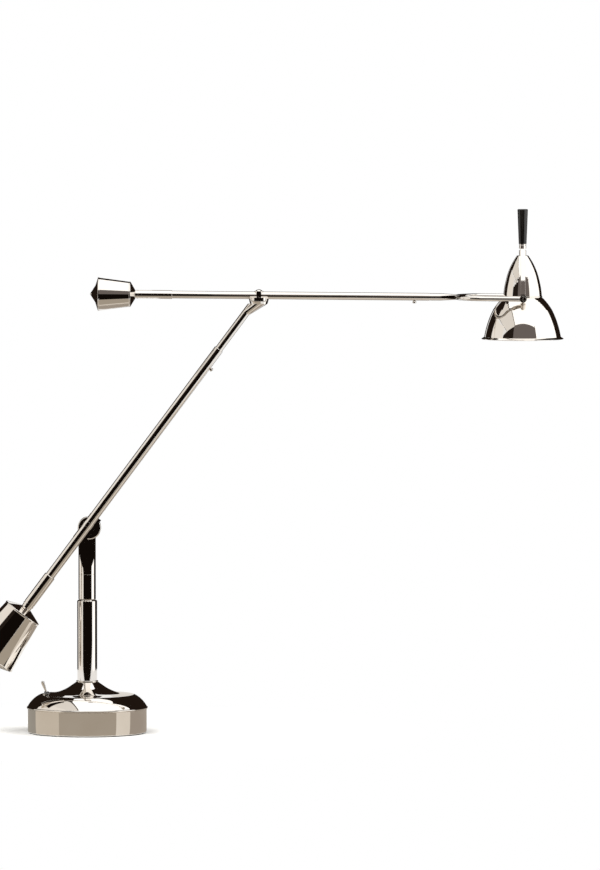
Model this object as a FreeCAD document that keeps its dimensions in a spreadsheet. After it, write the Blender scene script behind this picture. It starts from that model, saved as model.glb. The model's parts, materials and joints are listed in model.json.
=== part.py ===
"""Counterweight balance desk lamp, millimetres.

The origin is the centre of the base's underside, +X points to the shade, +Z is up.
The lower arm leans away from the column, the upper arm lies level on the elbow, and
each arm carries a turned weight at its free end.
"""
import FreeCAD, Part
import math
import os
import re

import Sketcher
from FreeCAD import Placement, Rotation, Vector

ACROSS = Vector(0, 1, 0)
ALONG = Vector(1, 0, 0)
UPRIGHT = Vector(0, 0, 1)

# The driving dimensions: name, value in millimetres or degrees, what it is. A value that
# starts with = follows others.
DIMENSIONS = {
    "Fits and gaps": [
        ("running_fit", 0.05, "radial clearance of a turning fit"),
        ("seat_fit", 0.02, "radial clearance of a fixed fit"),
        ("joint_gap", 0.3, "gap between faces that move past each other"),
    ],
    "Base": [
        ("base_radius", 73.3, "outside of the side band"),
        ("band_wall", 2.0, "wall of the side band"),
        ("band_bottom", 1.0, "height of the band's lower edge"),
        ("band_top", 30.0, "height of the band's upper edge"),
        ("lip_overhang", 0.4, "lip's root beyond the side band"),
        ("lip_thick", 2.6, "height of the rolled lip"),
        ("lip_curl", 1.35, "radius of the lip's rounded edge"),
        ("top_wall", 2.2, "upright thickness of the base cover"),
        ("spigot_drop", 4.0, "depth of the cover's spigot in the band"),
        ("spigot_wall", 1.6, "wall of that spigot"),
        ("bevel_curve", 34.0, "radius of the bevel's slight swell"),
        ("shoulder_radius", 60.0, "where the bevel ends"),
        ("shoulder_height", 46.5, "height there"),
        ("shoulder_curve", 7.0, "rounding from bevel to ring"),
        ("ring_outer", 56.0, "outside of the ring"),
        ("ring_outer_height", 47.5, "height there"),
        ("ring_inner", 46.0, "inside of the ring"),
        ("ring_inner_height", 48.5, "height there"),
        ("flare_curve", 52.0, "hollow curve of the flared foot"),
        ("flare_knee", 23.5, "radius where the hollow curve ends"),
        ("flare_knee_height", 56.0, "height there"),
        ("neck_rim", 1.1, "flare's top beyond the column"),
        ("flare_neck", "=column_radius + neck_rim", "radius of the flare's top"),
        ("flare_top", 63.0, "height of the flare's top"),
        ("pad_radius", 70.0, "felt pad"),
        ("pad_thick", 1.5, "felt pad"),
        ("plate_thick", 2.0, "bottom plate"),
        ("ballast_radius", 71.0, "iron weight in the base"),
        ("ballast_thick", 22.0, "iron weight in the base"),
        ("channel_width", 12.0, "cord channel in the ballast"),
        ("channel_height", 16.0, "cord channel in the ballast"),
        ("channel_start", 18.0, "inner end of the cord channel"),
        ("nut_pocket", 21.0, "pocket for the clamp nut"),
        ("nut_pocket_depth", 9.0, "pocket for the clamp nut"),
        ("bottom_screw_circle", 56.0, "bottom screws"),
        ("bottom_screw_radius", 2.0, "bottom screws"),
        ("bottom_screw_head", 4.0, "bottom screws"),
        ("bottom_screw_length", 12.0, "bottom screws"),
        ("inlet_height", 12.0, "cord inlet above the table"),
        ("inlet_bore", 3.2, "bore of the cord inlet"),
        ("inlet_body", 4.6, "bush in the band's hole"),
        ("inlet_flange", 6.4, "flange of the bush"),
        ("inlet_flange_thick", 1.6, "flange of the bush"),
        ("terminal_length", 24.0, "terminal block"),
        ("terminal_width", 14.0, "terminal block"),
        ("terminal_height", 10.0, "terminal block"),
        ("terminal_offset", 34.0, "terminal block from the axis"),
    ],
    "Switch": [
        ("switch_circle", 51.5, "switch from the base's axis"),
        ("switch_angle", 14.0, "switch in front of the left side"),
        ("switch_length", 13.0, "switch housing"),
        ("switch_width", 8.0, "switch housing"),
        ("switch_bottom", 29.0, "underside of the housing"),
        ("switch_box_top", 43.5, "top of the housing"),
        ("switch_seat", 47.5, "flat seat for the nut"),
        ("switch_seat_radius", 5.2, "flat seat for the nut"),
        ("neck_radius", 3.0, "threaded neck"),
        ("neck_rise", 4.3, "neck above the seat"),
        ("neck_mouth", 2.3, "bore of the neck's mouth"),
        ("neck_depth", 5.0, "depth of that bore"),
        ("switch_nut_size", 4.6, "nut, to its corners"),
        ("switch_nut_thick", 1.8, "nut"),
        ("lever_pivot", 2.6, "lever's pivot above the seat"),
        ("lever_pin", 0.5, "cross pin that the lever rocks on"),
        ("lever_ball", 2.15, "ball of the lever"),
        ("lever_root", 1.0, "lever's radius at the ball"),
        ("lever_tip", 2.1, "lever's radius near its tip"),
        ("lever_reach", 13.6, "pivot to the widest place"),
        ("lever_end", 15.4, "pivot to the rounded end"),
        ("lever_lean", 20.0, "lean of the lever at rest"),
    ],
    "Column": [
        ("column_radius", 12.3, "fixed column"),
        ("column_bore", 10.9, "fixed column"),
        ("column_foot", 4.5, "height of its lower end"),
        ("column_top", 164.2, "height of its upper end"),
        ("column_edge", 1.2, "chamfer on the fixed column's upper end"),
        ("edge_break", 0.6, "chamfer on turned ends"),
        ("clamp_nut_size", 18.0, "clamp nut, to its corners"),
        ("collar_rim", 1.2, "collar beyond the column"),
        ("collar_radius", "=column_radius + collar_rim", "collar on the flare"),
        ("collar_thick", 1.8, "collar on the flare"),
        ("spindle_radius", 8.4, "swivel spindle"),
        ("spindle_bore", 4.0, "wire way in the spindle"),
        ("spindle_foot", 58.2, "height of its lower end"),
        ("bush_length", 16.0, "each swivel bush"),
        ("retainer_thick", 3.8, "retaining nut under the lower bush"),
        ("retainer_radius", 10.4, "retaining nut"),
        ("stop_radius", 1.4, "stop pin and screw"),
        ("stop_drop", 4.4, "stop pin below the retaining nut"),
        ("stop_reach", 7.2, "tip of the stop screw from the axis"),
        ("washer_thick", 0.5, "thrust washer"),
        ("swivel_radius", 10.7, "turning part of the column"),
        ("swivel_split", 196.0, "height where the tube meets the head"),
        ("facet_start", 199.7, "height of the facets' lower points"),
        ("facet_end", 221.8, "height where the facets end"),
        ("tongue_half", 5.0, "half thickness of the tongue"),
        ("drum_offset", 2.9, "drum's axis beyond the column's axis"),
        ("drum_height", 253.4, "height of the tilt axis"),
        ("drum_radius", 14.4, "drum"),
        ("drum_half", 6.0, "half thickness of the drum"),
        ("drum_round", 1.7, "rounding of the drum's edges"),
        ("tilt_bolt_radius", 4.5, "tilt bolt"),
        ("tilt_bolt_bore", 2.6, "wire way in the tilt bolt"),
        ("wire_way", 3.0, "wire way in the head"),
    ],
    "Lower arm": [
        ("arm_plane", -14.5, "plane of both arms"),
        ("arm_cross", 255.9, "height where the arm crosses the column's axis"),
        ("arm_lean", 36.65, "lean of the lower arm from upright"),
        ("arm_reach", 354.8, "column's axis to elbow along the arm"),
        ("arm_droop", 0.5, "fall of the upper arm from level, towards the head"),
        ("lower_radius", 5.85, "lower sleeve"),
        ("stem_outside", 82.3, "from the sleeve's upper end to the elbow"),
        ("lower_top", "=arm_reach - stem_outside", "upper end of the sleeve along the arm"),
        ("lower_bottom", 76.0, "lower end of the sleeve along the arm"),
        ("stem_radius", 4.8, "elbow stem and weight rod"),
        ("stem_inside", 43.0, "length of stem in the sleeve"),
        ("saddle_near", 4.3, "saddle's front face, behind the arm's axis"),
        ("saddle_right", 9.7, "saddle's lower right edge"),
        ("saddle_left", 6.0, "saddle's upper left edge"),
        ("saddle_up", 16.0, "saddle's upper end"),
        ("saddle_down", 20.5, "saddle's lower end"),
        ("band_place", 2.7, "band's middle along the arm"),
        ("band_rise", 0.4, "pivot band above the sleeve"),
        ("band_narrow", 2.3, "half width of the band at the upper left"),
        ("band_wide", 4.0, "half width of the band at the lower right"),
        ("tilt_washer_thick", 1.2, "spring washer behind the drum"),
        ("tilt_nut_radius", 9.0, "domed nut behind the drum"),
        ("tilt_nut_thick", 7.0, "domed nut"),
        ("end_radius", 7.0, "thick lower end of the arm"),
        ("end_step", 3.7, "narrow step at the weight"),
        ("end_ring", 2.2, "ring between the step and the groove"),
        ("groove_depth", 0.7, "turned grooves of the thick ends"),
        ("groove_width", 0.8, "turned grooves of the thick ends"),
        ("lower_neck", 125.3, "where the lower weight starts"),
        ("stem_screw_back", 26.0, "retaining screw below the sleeve's upper end"),
        ("stem_screw_place", "=lower_top - stem_screw_back", "retaining screw along the lower arm"),
        ("retaining_shank", 1.3, "retaining screws"),
        ("retaining_head", 2.3, "retaining screws"),
        ("retaining_rise", 3.6, "head above the tube"),
        ("retaining_groove", 1.2, "depth of the groove it runs in"),
    ],
    "Lower weight": [
        ("low_front_radius", 24.5, "small end"),
        ("low_front_at", 7.0, "small end from the neck"),
        ("low_rear_radius", 32.6, "wide end"),
        ("low_rear_at", 75.0, "wide end from the neck"),
        ("low_cone_radius", 17.0, "rear cone"),
        ("low_cone_at", 79.8, "rear cone from the neck"),
        ("low_tip_at", 90.8, "tip from the neck"),
        ("low_bead", 2.4, "width of the beads"),
        ("low_bead_rise", 0.5, "beads above the body"),
        ("low_wall", 2.5, "wall of the plated shell"),
        ("low_rod_inside", 40.0, "rod in the weight"),
    ],
    "Elbow": [
        ("stator_radius", 11.8, "disc on the stem"),
        ("stator_top", 6.8, "its top below the upper arm's axis"),
        ("stator_bottom", 10.4, "its underside"),
        ("horn_length", 27.0, "from the horn's start to the elbow"),
        ("horn_start", "=arm_reach - horn_length", "where the horn leaves the stem"),
        ("horn_radius", 10.6, "horn under the disc"),
        ("rotor_radius", 12.1, "plate under the upper arm"),
        ("rotor_top", 2.4, "its top below the upper arm's axis"),
        ("rotor_bottom", 6.2, "its underside"),
        ("elbow_bolt_radius", 3.0, "elbow bolt"),
        ("elbow_bolt_foot", 13.2, "its lower end"),
        ("elbow_groove", 0.7, "depth of the bolt's groove"),
        ("set_screw_radius", 1.0, "screw that keeps the bolt"),
        ("boss_spread", 0.9, "boss beyond the tube's side"),
        ("boss_radius", "=upper_radius + boss_spread", "boss across the upper arm"),
        ("boss_rise", 0.5, "boss above the tube"),
        ("boss_top", "=upper_radius + boss_rise", "its top above the arm's axis"),
        ("dome_radius", 4.6, "bolt's domed head"),
        ("dome_rise", 2.3, "height of the dome"),
    ],
    "Upper arm": [
        ("upper_radius", 4.7, "upper sleeve"),
        ("upper_bore_radius", 3.8, "its bore"),
        ("upper_front", 210.0, "front end from the elbow"),
        ("upper_back", 106.7, "back end from the elbow"),
        ("upper_end_radius", 5.35, "thick back end"),
        ("upper_neck", 152.0, "where the upper weight starts"),
        ("fork_screw_place", 191.3, "retaining screw from the elbow"),
    ],
    "Upper weight": [
        ("up_front_radius", 15.5, "small end"),
        ("up_front_at", 6.0, "small end from the neck"),
        ("up_rear_radius", 20.5, "wide end"),
        ("up_rear_at", 46.0, "wide end from the neck"),
        ("up_cone_radius", 10.6, "rear cone"),
        ("up_cone_at", 49.0, "rear cone from the neck"),
        ("up_tip_at", 55.6, "tip from the neck"),
        ("up_bead", 1.7, "width of the beads"),
        ("up_bead_rise", 0.4, "beads above the body"),
        ("up_wall", 2.0, "wall of the plated shell"),
        ("up_rod_inside", 26.0, "rod in the weight"),
    ],
    "Fork": [
        ("fork_inside", 38.0, "stem in the sleeve"),
        ("fork_collar", 4.5, "stem outside the sleeve"),
        ("spoon_start", 223.3, "where the stem's facets start"),
        ("spoon_tongue", 2.0, "half thickness between the facets"),
        ("prong_radius", 3.2, "prongs"),
        ("prong_bend", 280.0, "centre of the prongs' bends from the elbow"),
        ("fork_way", 1.6, "wire way in the stem and its crotch"),
        ("fork_half", 36.0, "half the distance between the prongs"),
        ("head_reach", 324.3, "elbow to the head's pivots"),
        ("eye_radius", 4.4, "eyes at the prongs' ends"),
        ("eye_half", 3.4, "half thickness of the eyes"),
        ("pivot_radius", 2.0, "pivot screws"),
        ("pivot_head", 3.1, "pivot screws"),
        ("pivot_head_thick", 2.0, "pivot screws"),
        ("pivot_slot", 0.8, "slot in a pivot screw"),
    ],
    "Head": [
        ("strap_width", 5.5, "stirrup strap"),
        ("strap_thick", 2.0, "stirrup strap"),
        ("strap_low", 3.4, "strap below the pivot"),
        ("strap_bend", 6.0, "where the strap starts to bend in"),
        ("strap_curve", 90.0, "curve of the strap's sides"),
        ("strap_top", 60.4, "top of the arch above the pivot"),
        ("strap_crown", 5.6, "half width of the arch's flat top"),
        ("lug_radius", 3.9, "lugs at the pivots"),
        ("shade_wall", 1.0, "spun shade"),
        ("seam_radius", 23.7, "where the two bells meet"),
        ("seam_height", 2.2, "height of that seam"),
        ("waist_radius", 20.5, "upper bell, halfway up"),
        ("waist_height", 22.0, "height there"),
        ("crown_radius", 7.0, "top of the upper bell"),
        ("crown_height", 51.8, "top of the upper bell"),
        ("bell_belly", 100.0, "curve of the bell below its waist"),
        ("bell_crown", 80.0, "curve of the bell above its waist"),
        ("hip_radius", 36.4, "lower bell, a third of the way down"),
        ("hip_drop", 15.1, "depth there below the pivot"),
        ("hem_radius", 47.2, "lower bell above its lip"),
        ("hem_drop", 48.2, "depth there"),
        ("bell_hip", 75.0, "curve of the lower bell's top"),
        ("bell_hem", 118.0, "curve of the lower bell's side"),
        ("rim_radius", 50.6, "edge of the lip"),
        ("rim_drop", 50.9, "underside of the lip"),
        ("bead_radius", 24.3, "bead at the seam"),
        ("ferrule_radius", 4.4, "ferrule under the handle"),
        ("ferrule_top", 66.2, "top of the ferrule"),
        ("handle_low_radius", 4.8, "handle at the ferrule"),
        ("handle_top_radius", 6.45, "handle at its top"),
        ("handle_top", 108.8, "top of the handle"),
        ("stud_radius", 1.5, "stud through ferrule and handle"),
        ("stud_foot", 44.0, "lower end of the stud"),
        ("stud_top", 95.0, "upper end of the stud"),
        ("holder_radius", 12.5, "lamp holder"),
        ("holder_low", 13.0, "lower edge of the holder"),
        ("holder_high", 33.0, "shoulder of the holder"),
        ("shank_radius", 5.0, "holder's shank, which meets the shade"),
        ("nipple_radius", 3.6, "holder's threaded nipple in the shade"),
        ("socket_radius", 7.2, "socket in the holder"),
        ("socket_roof", 30.0, "roof of the socket"),
        ("cap_radius", 6.9, "screw cap of the bulb"),
        ("bulb_radius", 20.0, "bulb"),
        ("bulb_neck", 8.5, "bulb where its neck starts"),
        ("bulb_top", 10.0, "glass meets the cap"),
        ("bulb_drop", 38.0, "bulb's end below the pivot"),
    ],
}

doc = FreeCAD.newDocument("desk_lamp")
parts = []


def fill_sheet():
    """Write every driving dimension to the sheet, and return their names."""
    sheet = doc.addObject("Spreadsheet::Sheet", "Sizes")
    names = set()
    row = 1
    for heading, cells in DIMENSIONS.items():
        sheet.set(f"A{row}", heading)
        row += 1
        for alias, size, note in cells:
            sheet.set(f"A{row}", alias)
            sheet.set(f"B{row}", str(size))
            sheet.set(f"C{row}", note)
            sheet.setAlias(f"B{row}", alias)
            names.add(alias)
            row += 1
    doc.recompute()
    return sheet, names


sheet, NAMES = fill_sheet()


def bound(text):
    """An expression with every dimension's name pointed at the sheet."""
    return re.sub(
        r"[a-z]\w*",
        lambda word: f"Sizes.{word[0]}" if word[0] in NAMES else word[0],
        str(text),
    )


def size_of(text):
    return float(sheet.evalExpression(bound(text)))


def bind(thing, prop, text):
    thing.setExpression(prop, bound(text))


# Where a group of pieces stands: its origin, the axis that it turns about, the angle.
ELBOW_X = "arm_reach * sin(arm_lean * 1 deg)"
ELBOW_Z = "(arm_cross + arm_reach * cos(arm_lean * 1 deg))"
AT_COLUMN = (("0", "0", "0"), UPRIGHT, "0")
AT_DRUM = (("drum_offset", "0", "drum_height"), UPRIGHT, "0")
AT_LOWER_ARM = (("0", "arm_plane", "arm_cross"), ACROSS, "arm_lean")
AT_LOWER_WEIGHT = (
    (
        "-lower_neck * sin(arm_lean * 1 deg)",
        "arm_plane",
        "arm_cross - lower_neck * cos(arm_lean * 1 deg)",
    ),
    ACROSS,
    "arm_lean + 180",
)
AT_ELBOW = ((ELBOW_X, "arm_plane", ELBOW_Z), ACROSS, "arm_droop")
AT_UPPER_ARM = ((ELBOW_X, "arm_plane", ELBOW_Z), ACROSS, "90 + arm_droop")


def along_upper_arm(reach, angle):
    """A station on the upper arm's axis, at a reach from the elbow."""
    place = (
        f"{ELBOW_X} + ({reach}) * cos(arm_droop * 1 deg)",
        "arm_plane",
        f"{ELBOW_Z} - ({reach}) * sin(arm_droop * 1 deg)",
    )
    return place, ACROSS, angle


AT_UPPER_WEIGHT = along_upper_arm("-upper_neck", "arm_droop - 90")
AT_HEAD = along_upper_arm("head_reach", "0")


def put(thing, station):
    """Stand a piece at a station, tied to the sheet."""
    place, axis, angle = station
    base = Vector(*[size_of(text) for text in place])
    thing.Placement = Placement(base, Rotation(axis, size_of(angle)))
    for letter, text in zip("xyz", place):
        bind(thing, f"Placement.Base.{letter}", text)
    if size_of(angle):
        bind(thing, "Placement.Rotation.Angle", angle)
    return thing


def named(thing, label, station=AT_COLUMN):
    """Make a finished shape into a piece of the lamp."""
    put(thing, station)
    thing.Label = label
    parts.append(thing)
    return thing


def new_body(label):
    return doc.addObject("PartDesign::Body", label + "_body")


def plane_of(body, role):
    return [f for f in body.Origin.OriginFeatures if f.Role == role][0]


def arc_middle(start, end, radius):
    """The middle of the short arc; a positive radius swells to the right of travel."""
    middle = (start + end) * 0.5
    chord = end - start
    half = chord.Length / 2
    right = Vector(chord.y, -chord.x, 0).normalize()
    rise = abs(radius) - math.sqrt(radius * radius - half * half)
    return middle + right * math.copysign(rise, radius)


def outline_sketch(body, role, outline):
    """A closed, fully tied sketch. Each corner is (across, up) or (across, up, radius),
    where the radius rounds the side that arrives at that corner."""
    sketch = body.newObject("Sketcher::SketchObject", body.Name + "_sketch")
    sketch.AttachmentSupport = [(plane_of(body, role), "")]
    sketch.MapMode = "FlatFace"
    corners = [Vector(size_of(c[0]), size_of(c[1]), 0) for c in outline]
    sides = []
    for i, corner in enumerate(outline):
        start, end = corners[i - 1], corners[i]
        if len(corner) == 3:
            middle = arc_middle(start, end, size_of(corner[2]))
            side = sketch.addGeometry(Part.Arc(start, middle, end))
        else:
            side = sketch.addGeometry(Part.LineSegment(start, end))
        first = 1 if (sketch.getPoint(side, 1) - start).Length < 1e-6 else 2
        sides.append((side, first, 3 - first))
    for i, corner in enumerate(outline):
        side, _, last = sides[i]
        following, first, _ = sides[(i + 1) % len(outline)]
        tie(sketch, "Coincident", side, last, following, first)
        if str(corner[0]) == "0":
            tie(sketch, "PointOnObject", side, last, -2)
        else:
            measure(sketch, corner[0], "DistanceX", -1, 1, side, last, corners[i].x)
        if str(corner[1]) == "0":
            tie(sketch, "PointOnObject", side, last, -1)
        else:
            measure(sketch, corner[1], "DistanceY", -1, 1, side, last, corners[i].y)
        if len(corner) == 3:
            radius = corner[2].lstrip("-")
            measure(sketch, radius, "Radius", side, size_of(radius))
    return sketch


def tie(sketch, *constraint):
    return sketch.addConstraint(Sketcher.Constraint(*constraint))


def measure(sketch, text, *constraint):
    number = tie(sketch, *constraint)
    sketch.setExpression(f"Constraints[{number}]", bound(text))


def revolve(label, outline):
    """A body turned about its upright axis from an outline of (radius, height)."""
    body = new_body(label)
    sketch = outline_sketch(body, "XZ_Plane", outline)
    turning = body.newObject("PartDesign::Revolution", label + "_turning")
    turning.Profile = sketch
    turning.ReferenceAxis = (sketch, ["V_Axis"])
    turning.Angle = 360
    return body


def extrude(label, role, outline, length):
    """A body padded both ways from one of its own planes."""
    body = new_body(label)
    sketch = outline_sketch(body, role, outline)
    pad = body.newObject("PartDesign::Pad", label + "_pad")
    pad.Profile = sketch
    pad.SideType = "Symmetric"
    bind(pad, "Length", length)
    return body


def primitive(kind, label, sizes, place=("0", "0", "0"), axis=UPRIGHT, angle=0):
    """A plain solid whose sizes and place are tied to the sheet."""
    thing = doc.addObject("Part::" + kind, label)
    for prop, text in sizes.items():
        bind(thing, prop, text)
    return put(thing, (place, axis, angle))


def rod(label, radius, length, place=("0", "0", "0"), axis=UPRIGHT, angle=0):
    sizes = {"Radius": radius, "Height": length}
    return primitive("Cylinder", label, sizes, place, axis, angle)


def rod_across(label, radius, length, x="0", y="0", z="0"):
    """A round bar along +Y that starts at the given point."""
    return rod(label, radius, length, (x, y, z), ALONG, -90)


def block(label, length, width, height, place):
    sizes = {"Length": length, "Width": width, "Height": height}
    return primitive("Box", label, sizes, place)


def cut(label, base, *tools):
    """The base with every tool taken out of it."""
    for number, tool in enumerate(tools):
        step = doc.addObject("Part::Cut", f"{label}_cut_{number}")
        step.Base, step.Tool = base, tool
        base = step
    return base


def fuse(label, *shapes):
    step = doc.addObject("Part::MultiFuse", label + "_fuse")
    step.Shapes = list(shapes)
    return step


def common(label, base, tool):
    step = doc.addObject("Part::Common", label + "_common")
    step.Base, step.Tool = base, tool
    return step


def group(label, *shapes):
    """Separate like solids that share one name."""
    together = doc.addObject("Part::Compound", label + "_group")
    together.Links = list(shapes)
    return together


def dome(half_width, rise):
    """The radius of a cap that meets the axis square."""
    return f"(({half_width}) * ({half_width}) + ({rise}) * ({rise})) / (2 * ({rise}))"


def tube(label, outside, bore, low, high, station, chamfer=None):
    """A round tube from one height to another, its ends broken if a chamfer is named."""
    outline = [(bore, low)]
    if chamfer:
        outline += [
            (f"{outside} - {chamfer}", low),
            (outside, f"{low} + {chamfer}"),
            (outside, f"{high} - {chamfer}"),
            (f"{outside} - {chamfer}", high),
        ]
    else:
        outline += [(outside, low), (outside, high)]
    outline += [(bore, high)]
    return named(revolve(label, outline), label, station)


def bar(label, radius, low, high, station, chamfer=None):
    """A plain round bar along the station's own upright axis."""
    outline = [("0", low)]
    if chamfer:
        outline += [
            (f"{radius} - {chamfer}", low),
            (radius, f"{low} + {chamfer}"),
            (radius, f"{high} - {chamfer}"),
            (f"{radius} - {chamfer}", high),
        ]
    else:
        outline += [(radius, low), (radius, high)]
    outline += [("0", high)]
    return named(revolve(label, outline), label, station)


SWITCH_X = "-switch_circle * cos(switch_angle * 1 deg)"
SWITCH_Y = "-switch_circle * sin(switch_angle * 1 deg)"
BALLAST_FOOT = "(pad_thick + plate_thick)"
BALLAST_TOP = "(pad_thick + plate_thick + ballast_thick)"
BOTTOM_SCREW_ANGLES = (30, 150, 270)


def base_cover():
    """The spun cover: lip, bevel, ring and flared foot, with the switch's hole."""
    outer = [
        ("base_radius + lip_overhang", "band_top"),
        ("base_radius + lip_overhang", "band_top + lip_thick", "lip_curl"),
        ("shoulder_radius", "shoulder_height", "bevel_curve"),
        ("ring_outer", "ring_outer_height", "shoulder_curve"),
        ("ring_inner", "ring_inner_height"),
        ("flare_knee", "flare_knee_height", "-flare_curve"),
        ("flare_neck", "flare_top"),
    ]
    neck = "column_radius + running_fit"
    inner = [
        (neck, "flare_top"),
        (neck, "flare_top - top_wall * 0.7"),
        ("flare_knee", "flare_knee_height - top_wall"),
        ("ring_inner", "ring_inner_height - top_wall", "flare_curve"),
        ("ring_outer", "ring_outer_height - top_wall"),
        ("shoulder_radius", "shoulder_height - top_wall", "-shoulder_curve"),
        (
            "base_radius + lip_overhang - top_wall",
            "band_top + lip_thick",
            "-bevel_curve",
        ),
        ("base_radius + lip_overhang - top_wall", "band_top + spigot_wall"),
        ("base_radius - band_wall - running_fit - spigot_wall", "band_top + spigot_wall"),
        ("base_radius - band_wall - running_fit - spigot_wall", "band_top - spigot_drop"),
        ("base_radius - band_wall - running_fit", "band_top - spigot_drop"),
        ("base_radius - band_wall - running_fit", "band_top"),
    ]
    shell = revolve("base_cover", outer + inner)
    hole = rod(
        "switch_hole",
        "neck_radius + running_fit",
        "flare_top",
        (SWITCH_X, SWITCH_Y, "band_top"),
    )
    seat = rod(
        "switch_seat_face",
        "switch_seat_radius",
        "flare_top",
        (SWITCH_X, SWITCH_Y, "switch_seat"),
    )
    named(cut("base_cover", shell, hole, seat), "base_cover")


def base_band():
    """The upright side band with its rolled lower edge and the cord inlet's hole."""
    band = revolve(
        "base_band",
        [
            ("base_radius - band_wall", "band_bottom"),
            ("base_radius - edge_break", "band_bottom"),
            ("base_radius", "band_bottom + edge_break"),
            ("base_radius", "band_top"),
            ("base_radius - band_wall", "band_top"),
        ],
    )
    hole = rod_across(
        "inlet_hole",
        "inlet_body + seat_fit",
        "base_radius",
        y="ballast_radius - running_fit",
        z="inlet_height",
    )
    named(cut("base_band", band, hole), "base_band")


def bottom_screw_places():
    for angle in BOTTOM_SCREW_ANGLES:
        yield (
            f"bottom_screw_circle * cos({angle} deg)",
            f"bottom_screw_circle * sin({angle} deg)",
        )


def base_inside():
    """Ballast, bottom plate, felt pad and the screws that hold them together."""
    disc = rod("ballast_disc", "ballast_radius", "ballast_thick", ("0", "0", BALLAST_FOOT))
    centre = rod("ballast_hole", "column_radius + seat_fit", "flare_top")
    pocket = rod("ballast_pocket", "nut_pocket", "nut_pocket_depth", ("0", "0", BALLAST_FOOT))
    channel = block(
        "ballast_channel",
        "channel_width",
        "ballast_radius",
        "channel_height",
        ("-channel_width / 2", "channel_start", BALLAST_FOOT),
    )
    plate = rod(
        "plate_disc",
        "base_radius - band_wall - running_fit",
        "plate_thick",
        ("0", "0", "pad_thick"),
    )
    screws, shafts = [], []
    for number, (x, y) in enumerate(bottom_screw_places()):
        screw = rod(
            f"bottom_screw_{number}",
            "bottom_screw_radius",
            "bottom_screw_length",
            (x, y, "pad_thick"),
        )
        head = primitive(
            "Cone",
            f"bottom_head_{number}",
            {
                "Radius1": "bottom_screw_head",
                "Radius2": "bottom_screw_radius",
                "Height": "plate_thick",
            },
            (x, y, "pad_thick"),
        )
        screws.append(fuse(f"bottom_screw_{number}", screw, head))
        shafts.append(
            rod(
                f"bottom_shaft_{number}",
                "bottom_screw_radius + seat_fit",
                "bottom_screw_length + seat_fit",
                (x, y, "pad_thick"),
            )
        )
        shafts.append(
            primitive(
                "Cone",
                f"bottom_sink_{number}",
                {
                    "Radius1": "bottom_screw_head + seat_fit",
                    "Radius2": "bottom_screw_radius + seat_fit",
                    "Height": "plate_thick",
                },
                (x, y, "pad_thick"),
            )
        )
    named(cut("ballast", disc, centre, pocket, channel, *shafts), "ballast")
    named(cut("bottom_plate", plate, *shafts), "bottom_plate")
    named(group("bottom_screws", *screws), "bottom_screws")
    named(rod("felt_disc", "pad_radius", "pad_thick"), "felt_pad")


def cord_inlet():
    """The soft bush in the back of the band and the terminal block behind it."""
    bush = revolve(
        "cord_inlet",
        [
            ("inlet_bore", "base_radius - band_wall"),
            ("inlet_body", "base_radius - band_wall"),
            ("inlet_body", "base_radius"),
            ("inlet_flange", "base_radius"),
            ("inlet_flange", "base_radius + inlet_flange_thick * 0.5"),
            ("inlet_body", "base_radius + inlet_flange_thick"),
            ("inlet_bore", "base_radius + inlet_flange_thick"),
        ],
    )
    named(bush, "cord_inlet", (("0", "0", "inlet_height"), ALONG, "-90"))
    box = block(
        "terminal_box",
        "terminal_length",
        "terminal_width",
        "terminal_height",
        ("terminal_offset - terminal_length / 2", "-terminal_width / 2", BALLAST_TOP),
    )
    ways = [
        rod(
            f"terminal_way_{number}",
            "inlet_bore / 2",
            "terminal_height",
            (f"terminal_offset + {side} * terminal_length / 4", "0", f"{BALLAST_TOP} + 3"),
        )
        for number, side in enumerate((-1, 1))
    ]
    named(cut("terminal_block", box, *ways), "terminal_block")


def toggle_switch():
    """Switch housing with its threaded neck, the nut on the cover, and the lever."""
    housing = block(
        "switch_box",
        "switch_length",
        "switch_width",
        "switch_box_top - switch_bottom",
        (
            f"{SWITCH_X} - switch_length / 2",
            f"{SWITCH_Y} - switch_width / 2",
            "switch_bottom",
        ),
    )
    neck = rod(
        "switch_neck",
        "neck_radius",
        "switch_seat + neck_rise - switch_box_top",
        (SWITCH_X, SWITCH_Y, "switch_box_top"),
    )
    mouth = rod(
        "switch_mouth",
        "neck_mouth",
        "neck_depth + neck_rise",
        (SWITCH_X, SWITCH_Y, "switch_seat + neck_rise - neck_depth"),
    )
    pin = rod_across(
        "switch_pin",
        "lever_pin",
        "neck_mouth + neck_radius",
        SWITCH_X,
        f"{SWITCH_Y} - (neck_mouth + neck_radius) / 2",
        "switch_seat + lever_pivot",
    )
    open_body = cut("switch_body", fuse("switch_body", housing, neck), mouth)
    named(fuse("switch_body_pinned", open_body, pin), "switch_body")
    nut = primitive(
        "Prism",
        "switch_nut_blank",
        {"Circumradius": "switch_nut_size", "Height": "switch_nut_thick"},
        (SWITCH_X, SWITCH_Y, "switch_seat"),
    )
    bore = rod(
        "switch_nut_bore",
        "neck_radius + seat_fit",
        "switch_nut_thick",
        (SWITCH_X, SWITCH_Y, "switch_seat"),
    )
    named(cut("switch_nut", nut, bore), "switch_nut")
    ball_top = "sqrt(lever_ball * lever_ball - lever_root * lever_root)"
    lever = revolve(
        "toggle_lever",
        [
            ("0", "-lever_ball"),
            ("lever_root", ball_top, "lever_ball"),
            ("lever_tip", "lever_reach"),
            ("0", "lever_end", dome("lever_tip", "lever_end - lever_reach")),
        ],
    )
    pin_hole = rod_across(
        "lever_pin_hole", "lever_pin + running_fit", "lever_ball * 4", y="-lever_ball * 2"
    )
    station = ((SWITCH_X, SWITCH_Y, "switch_seat + lever_pivot"), ACROSS, "-lever_lean")
    named(cut("toggle_lever", lever, pin_hole), "toggle_lever", station)


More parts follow.
